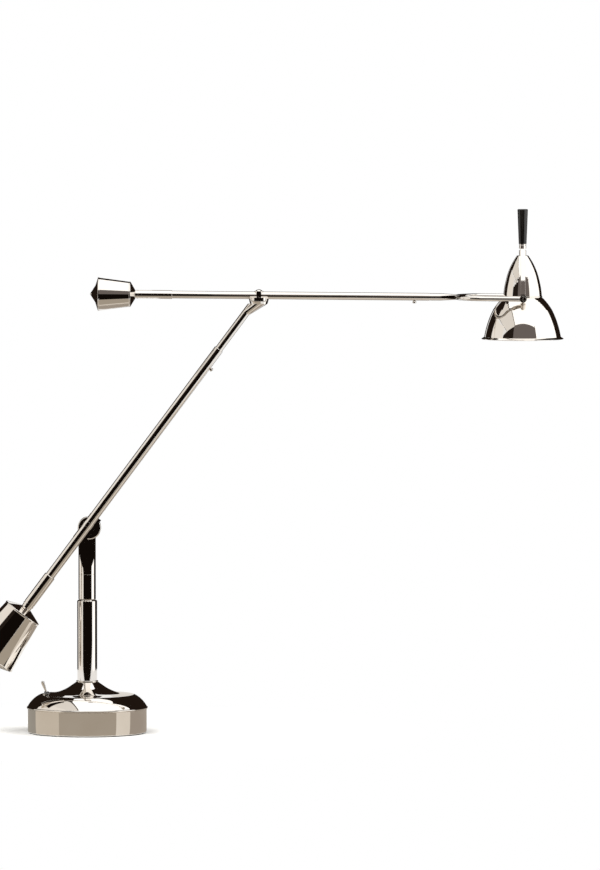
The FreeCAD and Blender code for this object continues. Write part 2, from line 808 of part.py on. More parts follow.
def fixed_column():
    """The fixed tube with its clamp nut, collar, bushes and stop screw."""
    shell = revolve(
        "column_tube",
        [
            ("column_bore", "column_foot"),
            ("column_radius", "column_foot"),
            ("column_radius", "column_top - column_edge"),
            ("column_radius - column_edge", "column_top"),
            ("column_bore", "column_top"),
        ],
    )
    stop_height = "spindle_foot - stop_drop / 2"
    hole = rod_across(
        "stop_hole",
        "stop_radius + seat_fit",
        "column_radius",
        y="stop_reach",
        z=stop_height,
    )
    named(cut("column_tube", shell, hole), "column_tube")
    bar(
        "swivel_stop_screw",
        "stop_radius",
        "stop_reach",
        "column_radius + edge_break",
        (("0", "0", stop_height), ALONG, "-90"),
    )
    nut = primitive(
        "Prism",
        "clamp_nut_blank",
        {
            "Circumradius": "clamp_nut_size",
            "Height": f"{BALLAST_FOOT} + nut_pocket_depth - column_foot",
        },
        ("0", "0", "column_foot"),
    )
    bore = rod("clamp_nut_bore", "column_radius + seat_fit", "flare_top")
    named(cut("clamp_nut", nut, bore), "clamp_nut")
    collar_low = "flare_top"
    collar = revolve(
        "column_collar",
        [
            ("column_radius + seat_fit", collar_low),
            ("collar_radius - edge_break / 2", collar_low),
            (
                "collar_radius - edge_break / 2",
                f"{collar_low} + collar_thick",
                "collar_thick * 0.6",
            ),
            ("column_radius + seat_fit", f"{collar_low} + collar_thick"),
        ],
    )
    named(collar, "column_collar")
    for label, low in (
        ("lower_bush", "spindle_foot + retainer_thick + joint_gap"),
        ("upper_bush", "column_top - bush_length"),
    ):
        tube(
            label,
            "column_bore - seat_fit",
            "spindle_radius + running_fit",
            low,
            f"{low} + bush_length",
            AT_COLUMN,
        )


def swivel():
    """What turns in the column: spindle, retaining nut, washer, tube and head."""
    tube(
        "swivel_spindle",
        "spindle_radius",
        "spindle_bore",
        "spindle_foot",
        "swivel_split",
        AT_COLUMN,
    )
    nut = revolve(
        "spindle_nut",
        [
            ("spindle_radius + seat_fit", "spindle_foot"),
            ("retainer_radius", "spindle_foot"),
            ("retainer_radius", "spindle_foot + retainer_thick"),
            ("spindle_radius + seat_fit", "spindle_foot + retainer_thick"),
        ],
    )
    pin = rod(
        "stop_pin",
        "stop_radius",
        "stop_drop + retainer_thick / 2",
        ("0", "-(retainer_radius - stop_radius)", "spindle_foot - stop_drop"),
    )
    shaft = rod(
        "spindle_shaft", "spindle_radius + seat_fit", "swivel_split", ("0", "0", "spindle_foot")
    )
    named(cut("spindle_nut", fuse("spindle_nut", nut, pin), shaft), "spindle_nut")
    tube(
        "thrust_washer",
        "swivel_radius - edge_break / 2",
        "spindle_radius + running_fit",
        "column_top",
        "column_top + washer_thick",
        AT_COLUMN,
    )
    named(
        revolve(
            "swivel_tube",
            [
                ("spindle_radius + seat_fit", "column_top + washer_thick"),
                ("swivel_radius - edge_break", "column_top + washer_thick"),
                ("swivel_radius", "column_top + washer_thick + edge_break"),
                ("swivel_radius", "swivel_split"),
                ("spindle_radius + seat_fit", "swivel_split"),
            ],
        ),
        "swivel_tube",
    )
    shoulder_head()


def facet_tool(label, side, start, end, outside, tongue, beyond, role, length):
    """A wedge that planes one oblique facet on a round bar."""
    outline = [
        (f"{side} * {outside}", start),
        (f"{side} * {tongue}", end),
        (f"{side} * {tongue}", beyond),
        (f"{side} * {outside} * 1.5", beyond),
        (f"{side} * {outside} * 1.5", start),
    ]
    return extrude(label, role, outline, length)


def shoulder_head():
    """The solid head: a round bar planed to a tongue that carries the drum."""
    bar = rod("head_bar", "swivel_radius", "drum_height - swivel_split", ("0", "0", "swivel_split"))
    facets = [
        facet_tool(
            f"head_facet_{name}",
            side,
            "facet_start",
            "facet_end",
            "swivel_radius",
            "tongue_half",
            "drum_height + drum_radius",
            "YZ_Plane",
            "swivel_radius * 3",
        )
        for name, side in (("near", -1), ("far", 1))
    ]
    planed = cut("head_bar", bar, *facets)
    drum = revolve(
        "drum",
        [
            ("0", "-drum_half"),
            ("drum_radius - drum_round", "-drum_half"),
            ("drum_radius", "-drum_half + drum_round", "drum_round"),
            ("drum_radius", "drum_half - drum_round"),
            ("drum_radius - drum_round", "drum_half", "drum_round"),
            ("0", "drum_half"),
        ],
    )
    put(drum, (("drum_offset", "0", "drum_height"), ALONG, "-90"))
    bolt_hole = rod_across(
        "tilt_hole",
        "tilt_bolt_radius + running_fit",
        "drum_half * 4",
        "drum_offset",
        "-drum_half * 2",
        "drum_height",
    )
    way = rod("head_way", "wire_way", "drum_height - swivel_split", ("0", "0", "swivel_split"))
    head = cut("shoulder_head", fuse("shoulder_head", planed, drum), bolt_hole, way)
    named(head, "shoulder_head")


# The tilt axis as the lower arm sees it, right of its axis and up along it.
TILT_RIGHT = (
    "(drum_offset * cos(arm_lean * 1 deg) + (arm_cross - drum_height) * sin(arm_lean * 1 deg))"
)
TILT_UP = (
    "(drum_offset * sin(arm_lean * 1 deg) - (arm_cross - drum_height) * cos(arm_lean * 1 deg))"
)
SADDLE_BACK = "(-arm_plane - drum_half - joint_gap)"


def shoulder_joint():
    """The saddle on the lower arm, and the bolt, washer and nut of the tilt joint."""
    plate = block(
        "saddle_plate",
        "saddle_left + saddle_right",
        f"{SADDLE_BACK} - saddle_near",
        "saddle_up + saddle_down",
        ("-saddle_left", "saddle_near", "-saddle_down"),
    )
    seat = rod(
        "saddle_seat", "lower_radius + seat_fit", "lower_top", ("0", "0", "-lower_bottom")
    )
    bolt_seat = rod_across(
        "saddle_bolt_seat",
        "tilt_bolt_radius + seat_fit",
        "drum_half * 4",
        TILT_RIGHT,
        "lower_radius",
        TILT_UP,
    )
    named(cut("arm_saddle", plate, seat, bolt_seat), "arm_saddle", AT_LOWER_ARM)
    behind_drum = f"{SADDLE_BACK} + joint_gap + drum_half * 2"
    shaft = rod_across(
        "tilt_bolt_bar",
        "tilt_bolt_radius",
        f"{behind_drum} + tilt_washer_thick + tilt_nut_thick * 0.7 - lower_radius - seat_fit",
        TILT_RIGHT,
        "lower_radius + seat_fit",
        TILT_UP,
    )
    bolt_way = rod_across(
        "tilt_bolt_way", "tilt_bolt_bore", "drum_half * 6", TILT_RIGHT, "0", TILT_UP
    )
    named(cut("tilt_bolt", shaft, bolt_way), "tilt_bolt", AT_LOWER_ARM)
    washer = revolve(
        "tilt_washer",
        [
            ("tilt_bolt_radius + seat_fit", "drum_half + joint_gap / 2"),
            ("tilt_nut_radius", "drum_half + joint_gap / 2"),
            ("tilt_nut_radius", "drum_half + tilt_washer_thick"),
            ("tilt_bolt_radius + seat_fit", "drum_half + tilt_washer_thick"),
        ],
    )
    behind = (("drum_offset", "0", "drum_height"), ALONG, "-90")
    named(washer, "tilt_washer", behind)
    nut_low = "drum_half + tilt_washer_thick"
    nut = revolve(
        "tilt_nut",
        [
            ("tilt_bolt_radius + seat_fit", nut_low),
            ("tilt_nut_radius", nut_low),
            ("tilt_nut_radius", f"{nut_low} + tilt_nut_thick * 0.4"),
            (
                "0",
                f"{nut_low} + tilt_nut_thick",
                dome("tilt_nut_radius", "tilt_nut_thick * 0.6"),
            ),
            ("0", f"{nut_low} + tilt_nut_thick * 0.75"),
            ("tilt_bolt_radius + seat_fit", f"{nut_low} + tilt_nut_thick * 0.75"),
        ],
    )
    named(nut, "tilt_nut", behind)


def lower_arm():
    """Sleeve, pivot band, thick end, weight rod and the screw that keeps the stem."""
    sleeve = revolve(
        "lower_sleeve",
        [
            ("stem_radius + running_fit", "-lower_bottom"),
            ("lower_radius", "-lower_bottom"),
            ("lower_radius", "lower_top - edge_break / 2"),
            ("lower_radius - edge_break / 2", "lower_top"),
            ("stem_radius + running_fit", "lower_top"),
        ],
    )
    screw_hole = rod(
        "stem_screw_hole",
        "retaining_shank + seat_fit",
        "lower_radius * 2",
        ("0", "0", "stem_screw_place"),
        ACROSS,
        90,
    )
    named(cut("lower_sleeve", sleeve, screw_hole), "lower_sleeve", AT_LOWER_ARM)
    ring = revolve(
        "band_ring",
        [
            ("lower_radius + seat_fit", "band_place - band_wide * 2"),
            ("lower_radius + band_rise", "band_place - band_wide * 2"),
            ("lower_radius + band_rise", "band_place + band_wide * 2"),
            ("lower_radius + seat_fit", "band_place + band_wide * 2"),
        ],
    )
    wedge = extrude(
        "band_wedge",
        "XZ_Plane",
        [
            ("-lower_radius * 1.2", "band_place - band_narrow"),
            ("lower_radius * 1.2", "band_place - band_wide"),
            ("lower_radius * 1.2", "band_place + band_wide"),
            ("-lower_radius * 1.2", "band_place + band_narrow"),
        ],
        "lower_radius * 4",
    )
    behind = block(
        "band_behind",
        "lower_radius * 4",
        "lower_radius * 2",
        "band_wide * 4",
        ("-lower_radius * 2", "saddle_near - seat_fit", "band_place - band_wide * 2"),
    )
    band = cut("pivot_band", common("pivot_band", ring, wedge), behind)
    named(band, "pivot_band", AT_LOWER_ARM)
    groove_at = "-lower_neck + end_step + end_ring"
    thick_end = revolve(
        "lower_end",
        [
            ("stem_radius + running_fit", "-lower_neck"),
            ("end_radius - groove_depth", "-lower_neck"),
            ("end_radius - groove_depth", "-lower_neck + end_step"),
            ("end_radius", "-lower_neck + end_step"),
            ("end_radius", groove_at),
            ("end_radius - groove_depth", groove_at),
            ("end_radius - groove_depth", f"{groove_at} + groove_width"),
            ("end_radius", f"{groove_at} + groove_width"),
            ("end_radius", "-lower_bottom - edge_break"),
            ("end_radius - edge_break", "-lower_bottom"),
            ("stem_radius + running_fit", "-lower_bottom"),
        ],
    )
    named(thick_end, "lower_end_sleeve", AT_LOWER_ARM)
    bar(
        "lower_weight_rod",
        "stem_radius",
        "-lower_neck - low_rod_inside",
        "-lower_bottom / 2",
        AT_LOWER_ARM,
        "edge_break",
    )
    at_screw = (
        (
            "stem_screw_place * sin(arm_lean * 1 deg)",
            "arm_plane",
            "arm_cross + stem_screw_place * cos(arm_lean * 1 deg)",
        ),
        ACROSS,
        "arm_lean + 90",
    )
    retaining_screw("stem_screw", "lower_radius", "stem_radius", at_screw)


def retaining_screw(label, tube_radius, stem_radius, station):
    """A small round-headed screw whose tip runs in the groove of the turning stem."""
    screw = revolve(
        label,
        [
            ("0", f"{stem_radius} - retaining_groove + joint_gap / 2"),
            ("retaining_shank", f"{stem_radius} - retaining_groove + joint_gap / 2"),
            ("retaining_shank", f"{tube_radius} + joint_gap / 2"),
            ("retaining_head * 0.7", f"{tube_radius} + joint_gap / 2"),
            ("retaining_head", f"{tube_radius} + retaining_rise * 0.4"),
            ("retaining_head", f"{tube_radius} + retaining_rise * 0.8"),
            (
                "0",
                f"{tube_radius} + retaining_rise",
                dome("retaining_head", "retaining_rise * 0.2"),
            ),
        ],
    )
    named(screw, label, station)


def counterweight(side, small, bore, neck_radius, station):
    """Plated shell, iron core and screwed tip of one weight, out from its neck."""
    wall, bead, rise = small + "_wall", small + "_bead", small + "_bead_rise"
    front, front_at = small + "_front_radius", small + "_front_at"
    rear, rear_at = small + "_rear_radius", small + "_rear_at"
    shell = revolve(
        f"{side}_weight_shell",
        [
            (f"{bore} + seat_fit", "0"),
            (neck_radius, "0"),
            (front, f"{front_at}"),
            (front, f"{front_at} + {bead}", f"{bead} * 0.8"),
            (rear, f"{rear_at} - {bead}"),
            (rear, rear_at, f"{bead} * 0.8"),
            (f"{rear} - {wall}", rear_at),
            (f"{front} - {wall}", f"{front_at} + {wall}"),
            (f"{bore} + seat_fit", f"{front_at} + {wall}"),
        ],
    )
    named(shell, f"{side}_weight_shell", station)
    core_low = f"{front_at} + {wall}"
    core = revolve(
        f"{side}_weight_core",
        [
            (f"{bore} + seat_fit", core_low),
            (f"{front} - {wall} - seat_fit * 2", core_low),
            (f"{rear} - {wall} - seat_fit * 2", rear_at),
            ("0", rear_at),
            ("0", f"{small}_rod_inside"),
            (f"{bore} + seat_fit", f"{small}_rod_inside"),
        ],
    )
    named(core, f"{side}_weight_core", station)
    tip = revolve(
        f"{side}_weight_tip",
        [
            ("0", rear_at),
            (f"{rear} - {rise}", rear_at),
            (f"{small}_cone_radius", f"{small}_cone_at"),
            (f"{bead} * 0.6", f"{small}_tip_at - {bead} * 0.3"),
            ("0", f"{small}_tip_at", dome(f"{bead} * 0.6", f"{bead} * 0.3")),
        ],
    )
    named(tip, f"{side}_weight_tip", station)


def elbow():
    """The stem that turns in the lower sleeve, with its horn, disc and set screw."""
    cosine = "cos((arm_lean - arm_droop) * 1 deg)"
    sine = "sin((arm_lean - arm_droop) * 1 deg)"
    shaft = rod(
        "stem_bar",
        "stem_radius",
        "arm_reach - lower_top + stem_inside",
        (
            f"(lower_top - stem_inside - arm_reach) * {sine}",
            "0",
            f"(lower_top - stem_inside - arm_reach) * {cosine}",
        ),
        ACROSS,
        "arm_lean - arm_droop",
    )
    above = block(
        "stem_above",
        "arm_reach",
        "arm_reach",
        "arm_reach",
        ("-arm_reach / 2", "-arm_reach / 2", "-stator_bottom"),
    )
    low_ring = primitive(
        "Circle",
        "horn_low_ring",
        {"Radius": "stem_radius"},
        (f"(horn_start - arm_reach) * {sine}", "0", f"(horn_start - arm_reach) * {cosine}"),
        ACROSS,
        "arm_lean - arm_droop",
    )
    high_ring = primitive(
        "Circle", "horn_high_ring", {"Radius": "horn_radius"}, ("0", "0", "-stator_bottom")
    )
    horn = doc.addObject("Part::Loft", "horn_loft")
    horn.Sections = [low_ring, high_ring]
    horn.Solid = True
    horn.Ruled = True
    disc = revolve(
        "stator",
        [
            ("0", "-stator_bottom"),
            ("horn_radius", "-stator_bottom"),
            ("stator_radius", "-stator_top - edge_break / 2"),
            ("stator_radius - edge_break / 2", "-stator_top"),
            ("0", "-stator_top"),
        ],
    )
    solid = fuse("elbow_stem", cut("stem_bar", shaft, above), horn, disc)
    bolt_hole = rod(
        "elbow_bolt_hole",
        "elbow_bolt_radius + running_fit",
        "elbow_bolt_foot",
        ("0", "0", "-elbow_bolt_foot - joint_gap"),
    )
    way = rod(
        "stem_way",
        "tilt_bolt_bore",
        "horn_start - lower_top + stem_inside",
        (
            f"(lower_top - stem_inside - arm_reach) * {sine}",
            "0",
            f"(lower_top - stem_inside - arm_reach) * {cosine}",
        ),
        ACROSS,
        "arm_lean - arm_droop",
    )
    groove = revolve(
        "stem_groove",
        [
            ("stem_radius - retaining_groove", "-retaining_shank - running_fit * 2"),
            ("stem_radius * 2", "-retaining_shank - running_fit * 2"),
            ("stem_radius * 2", "retaining_shank + running_fit * 2"),
            ("stem_radius - retaining_groove", "retaining_shank + running_fit * 2"),
        ],
    )
    put(
        groove,
        (
            (
                f"(stem_screw_place - arm_reach) * {sine}",
                "0",
                f"(stem_screw_place - arm_reach) * {cosine}",
            ),
            ACROSS,
            "arm_lean - arm_droop",
        ),
    )
    screw_height = "-(stator_top + stator_bottom) / 2"
    screw_hole = rod_across(
        "set_screw_hole", "set_screw_radius + seat_fit", "stator_radius * 2", z=screw_height
    )
    named(cut("elbow_stem", solid, bolt_hole, way, groove, screw_hole), "elbow_stem", AT_ELBOW)
    screw_tip = "elbow_bolt_radius - elbow_groove + running_fit * 2"
    below_elbow = (
        f"{ELBOW_X} {screw_height} * sin(arm_droop * 1 deg)",
        "arm_plane",
        f"{ELBOW_Z} {screw_height} * cos(arm_droop * 1 deg)",
    )
    bar(
        "elbow_set_screw",
        "set_screw_radius",
        screw_tip,
        "stator_radius - joint_gap",
        (below_elbow, ALONG, "-90"),
    )


def upper_arm():
    """Rotor plate, bolt and washer of the elbow, the sleeve, its thick end and rod."""
    plate = rod(
        "rotor_plate",
        "rotor_radius",
        "rotor_bottom - rotor_top",
        ("0", "0", "-rotor_bottom"),
    )
    cradle = rod(
        "rotor_cradle",
        "upper_radius + seat_fit",
        "rotor_radius * 4",
        ("-rotor_radius * 2", "0", "0"),
        ACROSS,
        90,
    )
    shaft = rod(
        "rotor_shaft", "elbow_bolt_radius + seat_fit", "rotor_bottom", ("0", "0", "-rotor_bottom")
    )
    named(cut("elbow_rotor", plate, cradle, shaft), "elbow_rotor", AT_ELBOW)
    middle = "(stator_top + stator_bottom) / 2"
    half = "set_screw_radius + running_fit * 3"
    bolt = revolve(
        "elbow_bolt",
        [
            ("0", "-elbow_bolt_foot"),
            ("elbow_bolt_radius", "-elbow_bolt_foot"),
            ("elbow_bolt_radius", f"-{middle} - ({half})"),
            ("elbow_bolt_radius - elbow_groove", f"-{middle} - ({half})"),
            ("elbow_bolt_radius - elbow_groove", f"-{middle} + ({half})"),
            ("elbow_bolt_radius", f"-{middle} + ({half})"),
            ("elbow_bolt_radius", "boss_top"),
            ("dome_radius", "boss_top"),
            ("0", "boss_top + dome_rise", dome("dome_radius", "dome_rise")),
        ],
    )
    named(bolt, "elbow_bolt", AT_ELBOW)
    tube(
        "elbow_washer",
        "rotor_radius - edge_break",
        "elbow_bolt_radius + seat_fit",
        "-stator_top + running_fit",
        "-rotor_bottom - running_fit",
        AT_ELBOW,
    )
    sleeve = rod(
        "upper_tube",
        "upper_radius",
        "upper_back + upper_front",
        ("-upper_back", "0", "0"),
        ACROSS,
        90,
    )
    boss = rod("upper_boss", "boss_radius", "rotor_top + boss_top", ("0", "0", "-rotor_top"))
    bore = rod(
        "upper_bore",
        "upper_bore_radius",
        "(upper_back + upper_front) * 2",
        ("-upper_back - upper_front", "0", "0"),
        ACROSS,
        90,
    )
    bolt_hole = rod(
        "upper_bolt_hole",
        "elbow_bolt_radius + seat_fit",
        "upper_radius * 4",
        ("0", "0", "-upper_radius * 2"),
    )
    screw_hole = rod(
        "fork_screw_hole",
        "retaining_shank + seat_fit",
        "upper_radius * 2",
        ("fork_screw_place", "0", "-upper_radius * 2"),
    )
    named(
        cut("upper_sleeve", fuse("upper_sleeve", sleeve, boss), bore, bolt_hole, screw_hole),
        "upper_sleeve",
        AT_ELBOW,
    )
    groove_at = "-upper_neck + groove_width + end_ring"
    thick_end = revolve(
        "upper_end",
        [
            ("upper_bore_radius", "-upper_neck"),
            ("upper_end_radius - groove_depth", "-upper_neck"),
            ("upper_end_radius - groove_depth", "-upper_neck + groove_width"),
            ("upper_end_radius", "-upper_neck + groove_width"),
            ("upper_end_radius", groove_at),
            ("upper_end_radius - groove_depth / 2", groove_at),
            ("upper_end_radius - groove_depth / 2", f"{groove_at} + groove_width / 2"),
            ("upper_end_radius", f"{groove_at} + groove_width / 2"),
            ("upper_end_radius", "-upper_back - edge_break / 2"),
            ("upper_end_radius - edge_break / 2", "-upper_back"),
            ("upper_bore_radius", "-upper_back"),
        ],
    )
    named(thick_end, "upper_end_sleeve", AT_UPPER_ARM)
    bar(
        "upper_weight_rod",
        "upper_bore_radius - seat_fit",
        "-upper_neck - up_rod_inside",
        "-upper_back / 2",
        AT_UPPER_ARM,
        "edge_break",
    )
    at_screw = along_upper_arm("fork_screw_place", "180 + arm_droop")
    stem = "(upper_bore_radius - running_fit)"
    retaining_screw("fork_screw", "upper_radius", stem, at_screw)


def fork():
    """The two prongs, the turning stem between them, and the pivot screws."""
    bends = []
    for name, side, turn in (("near", -1, 180), ("far", 1, 90)):
        bend = primitive(
            "Torus",
            f"prong_bend_{name}",
            {"Radius1": "fork_half", "Radius2": "prong_radius", "Angle3": "90"},
            ("prong_bend", "0", "0"),
            UPRIGHT,
            turn,
        )
        bends.append(bend)
        straight = rod(
            f"prong_bar_{name}",
            "prong_radius",
            "head_reach - prong_bend",
            ("prong_bend", f"{side} * fork_half", "0"),
            ACROSS,
            90,
        )
        eye = rod_across(
            f"prong_eye_{name}",
            "eye_radius",
            "eye_half * 2",
            "head_reach",
            f"{side} * fork_half - eye_half",
        )
        hole = rod_across(
            f"prong_hole_{name}",
            "pivot_radius + seat_fit",
            "eye_half * 4",
            "head_reach",
            f"{side} * fork_half - eye_half * 2",
        )
        way = rod(
            f"prong_way_{name}",
            "fork_way",
            "fork_half * 2",
            ("prong_bend - fork_half * 2", "0", "0"),
            ACROSS,
            90,
        )
        label = f"fork_prong_{name}"
        prong = cut(label, fuse(label, bend, straight, eye), hole, way)
        named(prong, label, AT_ELBOW)
    fork_stem(bends)
    pivot_screws()


def fork_stem(bends):
    """The stem: a rod in the sleeve, a collar, and a taper planed to the crotch."""
    stem = "(upper_bore_radius - running_fit)"
    groove_start = "fork_screw_place - retaining_shank - running_fit * 2"
    groove_end = "fork_screw_place + retaining_shank + running_fit * 2"
    crotch = "prong_bend - fork_half"
    turned = revolve(
        "fork_stem",
        [
            ("fork_way", "upper_front - fork_inside"),
            (stem, "upper_front - fork_inside"),
            (stem, groove_start),
            (f"{stem} - retaining_groove", groove_start),
            (f"{stem} - retaining_groove", groove_end),
            (stem, groove_end),
            (stem, "upper_front + joint_gap"),
            ("fork_collar", "upper_front + joint_gap"),
            ("fork_collar", "spoon_start"),
            ("prong_radius", crotch),
            ("fork_way", crotch),
        ],
    )
    put(turned, (("0", "0", "0"), ACROSS, "90"))
    tools = []
    for name, side in (("near", -1), ("far", 1)):
        facet = facet_tool(
            f"fork_facet_{name}",
            side,
            "spoon_start",
            crotch,
            "fork_collar",
            "spoon_tongue",
            "prong_bend",
            "YZ_Plane",
            "fork_collar * 4",
        )
        tools.append(put(facet, (("0", "0", "0"), ACROSS, "90")))
    named(cut("fork_stem", turned, *tools, *bends), "fork_stem", AT_ELBOW)


def pivot_screws():
    """The slotted screws that carry the head between the prongs."""
    outside = "(fork_half + eye_half)"
    inside = "(fork_half - eye_half - joint_gap * 2 - strap_thick)"
    screws = []
    for name, side in (("near", -1), ("far", 1)):
        ends = (inside, outside) if side > 0 else (f"-{outside}", f"-{inside}")
        shank = rod_across(
            f"pivot_shank_{name}",
            "pivot_radius",
            f"{outside} - {inside}",
            "head_reach",
            ends[0],
        )
        head = rod_across(
            f"pivot_head_{name}",
            "pivot_head",
            "pivot_head_thick",
            "head_reach",
            outside if side > 0 else f"-{outside} - pivot_head_thick",
        )
        slot = block(
            f"pivot_slot_{name}",
            "pivot_slot",
            "pivot_head_thick",
            "pivot_head * 4",
            (
                "head_reach - pivot_slot / 2",
                f"{side} * ({outside} + pivot_head_thick) - pivot_head_thick / 2",
                "-pivot_head * 2",
            ),
        )
        label = f"pivot_screw_{name}"
        screws.append(cut(label, fuse(label, shank, head), slot))
    named(group("pivot_screws", *screws), "pivot_screws", AT_ELBOW)


def head_strap():
    """The arched strap over the shade, with a lug at each pivot."""
    outer = "(fork_half - eye_half - joint_gap)"
    inner = f"({outer} - strap_thick)"
    arch = extrude(
        "strap_arch",
        "YZ_Plane",
        [
            (outer, "-strap_low"),
            (outer, "strap_bend"),
            ("strap_crown", "strap_top", "strap_curve"),
            ("-strap_crown", "strap_top"),
            (f"-{outer}", "strap_bend", "strap_curve"),
            (f"-{outer}", "-strap_low"),
            (f"-{inner}", "-strap_low"),
            (f"-{inner}", "strap_bend"),
            (
                "-(strap_crown - strap_thick * 0.5)",
                "strap_top - strap_thick",
                "-(strap_curve - strap_thick)",
            ),
            ("strap_crown - strap_thick * 0.5", "strap_top - strap_thick"),
            (inner, "strap_bend", "-(strap_curve - strap_thick)"),
            (inner, "-strap_low"),
        ],
        "strap_width",
    )
    lugs = [
        rod_across("strap_lug_near", "lug_radius", "strap_thick", y=f"-{outer}"),
        rod_across("strap_lug_far", "lug_radius", "strap_thick", y=inner),
    ]
    holes = rod_across(
        "strap_holes", "pivot_radius + running_fit", f"{outer} * 3", y=f"-{outer} * 1.5"
    )
    stud_hole = rod("strap_stud_hole", "stud_radius + seat_fit", "handle_top")
    named(
        cut("head_strap", fuse("head_strap", arch, *lugs), holes, stud_hole),
        "head_strap",
        AT_HEAD,
    )


def shade():
    """The two spun bells."""
    upper = revolve(
        "upper_bell",
        [
            ("seam_radius", "seam_height"),
            ("waist_radius", "waist_height", "bell_belly"),
            ("crown_radius", "crown_height", "bell_crown"),
            ("nipple_radius + seat_fit", "crown_height"),
            ("nipple_radius + seat_fit", "crown_height - shade_wall"),
            ("crown_radius - shade_wall", "crown_height - shade_wall"),
            (
                "waist_radius - shade_wall",
                "waist_height",
                "-(bell_crown - shade_wall)",
            ),
            ("seam_radius - shade_wall", "seam_height", "-(bell_belly - shade_wall)"),
        ],
    )
    named(upper, "upper_bell", AT_HEAD)
    lower = revolve(
        "lower_bell",
        [
            ("hem_radius - shade_wall", "-rim_drop + shade_wall / 2"),
            ("rim_radius - shade_wall / 2", "-rim_drop"),
            ("rim_radius", "-rim_drop + shade_wall / 2"),
            ("rim_radius - shade_wall / 2", "-rim_drop + shade_wall"),
            ("hem_radius", "-hem_drop"),
            ("hip_radius", "-hip_drop", "bell_hem"),
            ("seam_radius", "seam_height - shade_wall * 1.4", "bell_hip"),
            ("bead_radius", "seam_height - shade_wall * 1.2"),
            ("bead_radius", "seam_height - shade_wall * 0.2"),
            ("seam_radius", "seam_height"),
            ("seam_radius - shade_wall", "seam_height"),
            ("seam_radius - shade_wall", "seam_height - shade_wall * 1.4"),
            ("hip_radius - shade_wall", "-hip_drop", "-(bell_hip - shade_wall)"),
            ("hem_radius - shade_wall", "-hem_drop", "-(bell_hem - shade_wall)"),
        ],
    )
    named(lower, "lower_bell", AT_HEAD)


def handle():
    """Neck collar, ferrule, tapered handle and the stud that holds them."""
    tube(
        "neck_collar",
        "ferrule_radius",
        "stud_radius + seat_fit",
        "crown_height",
        "strap_top - strap_thick",
        AT_HEAD,
    )
    ferrule = revolve(
        "ferrule",
        [
            ("stud_radius + seat_fit", "strap_top"),
            ("ferrule_radius", "strap_top"),
            ("ferrule_radius", "ferrule_top - edge_break * 3"),
            ("ferrule_radius - edge_break / 2", "ferrule_top - edge_break * 2.5"),
            ("ferrule_radius - edge_break / 2", "ferrule_top - edge_break * 2"),
            ("ferrule_radius", "ferrule_top - edge_break * 1.5"),
            ("ferrule_radius", "ferrule_top"),
            ("stud_radius + seat_fit", "ferrule_top"),
        ],
    )
    named(ferrule, "ferrule", AT_HEAD)
    grip = revolve(
        "handle",
        [
            ("stud_radius + seat_fit", "ferrule_top"),
            ("handle_low_radius", "ferrule_top"),
            ("handle_top_radius", "handle_top - edge_break"),
            ("handle_top_radius - edge_break", "handle_top"),
            ("0", "handle_top"),
            ("0", "stud_top"),
            ("stud_radius + seat_fit", "stud_top"),
        ],
    )
    named(grip, "handle", AT_HEAD)
    bar("handle_stud", "stud_radius", "stud_foot", "stud_top", AT_HEAD)


def lamp():
    """Holder, screw cap and glass bulb."""
    holder = revolve(
        "lamp_holder",
        [
            ("socket_radius", "holder_low"),
            ("holder_radius", "holder_low"),
            ("holder_radius", "holder_high"),
            ("shank_radius", "holder_high + edge_break"),
            ("shank_radius", "crown_height - shade_wall"),
            ("nipple_radius", "crown_height - shade_wall"),
            ("nipple_radius", "crown_height"),
            ("stud_radius + seat_fit", "crown_height"),
            ("stud_radius + seat_fit", "socket_roof + edge_break"),
            ("0", "socket_roof + edge_break"),
            ("0", "socket_roof"),
            ("socket_radius", "socket_roof"),
        ],
    )
    named(holder, "lamp_holder", AT_HEAD)
    bar(
        "bulb_cap",
        "cap_radius",
        "bulb_top",
        "socket_roof - joint_gap",
        AT_HEAD,
        "edge_break",
    )
    neck_height = (
        "(bulb_radius - bulb_drop + sqrt(bulb_radius * bulb_radius - bulb_neck * bulb_neck))"
    )
    glass = revolve(
        "bulb",
        [
            ("0", "-bulb_drop"),
            ("bulb_neck", neck_height, "bulb_radius"),
            ("cap_radius", "bulb_top"),
            ("0", "bulb_top"),
        ],
    )
    named(glass, "bulb", AT_HEAD)


def check_and_write():
    """Stop on any failed object, then write one file for each piece."""
    doc.recompute()
    for thing in doc.Objects:
        if "Invalid" in thing.State or "Error" in thing.State:
            raise RuntimeError(f"{thing.Name} failed: {thing.State}")
    for piece in parts:
        if piece.Shape.isNull() or not piece.Shape.isValid() or not piece.Shape.Solids:
            raise RuntimeError(f"{piece.Label} has no sound shape")
    os.makedirs("parts", exist_ok=True)
    for piece in parts:
        piece.Shape.exportStep(f"parts/{piece.Label}.step")
    print(len(parts), "pieces written")


base_cover()
base_band()
base_inside()
cord_inlet()
toggle_switch()
fixed_column()
swivel()
shoulder_joint()
lower_arm()
counterweight("lower", "low", "stem_radius", "end_radius", AT_LOWER_WEIGHT)
elbow()
upper_arm()
counterweight("upper", "up", "(upper_bore_radius - seat_fit)", "upper_end_radius", AT_UPPER_WEIGHT)
fork()
head_strap()
shade()
handle()
lamp()
check_and_write()
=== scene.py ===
"""Counterweight balance desk lamp: the finish, the eased edges and the studio round its frame.

Every piece is in metres, in the frame's own place. A turned piece is cut in half, its corners
are rounded and it is turned again with finer steps. A milled or bent piece keeps its shape and
gets eased edges.
"""
import json
import math

import bmesh
import bpy
from mathutils import Matrix, Vector


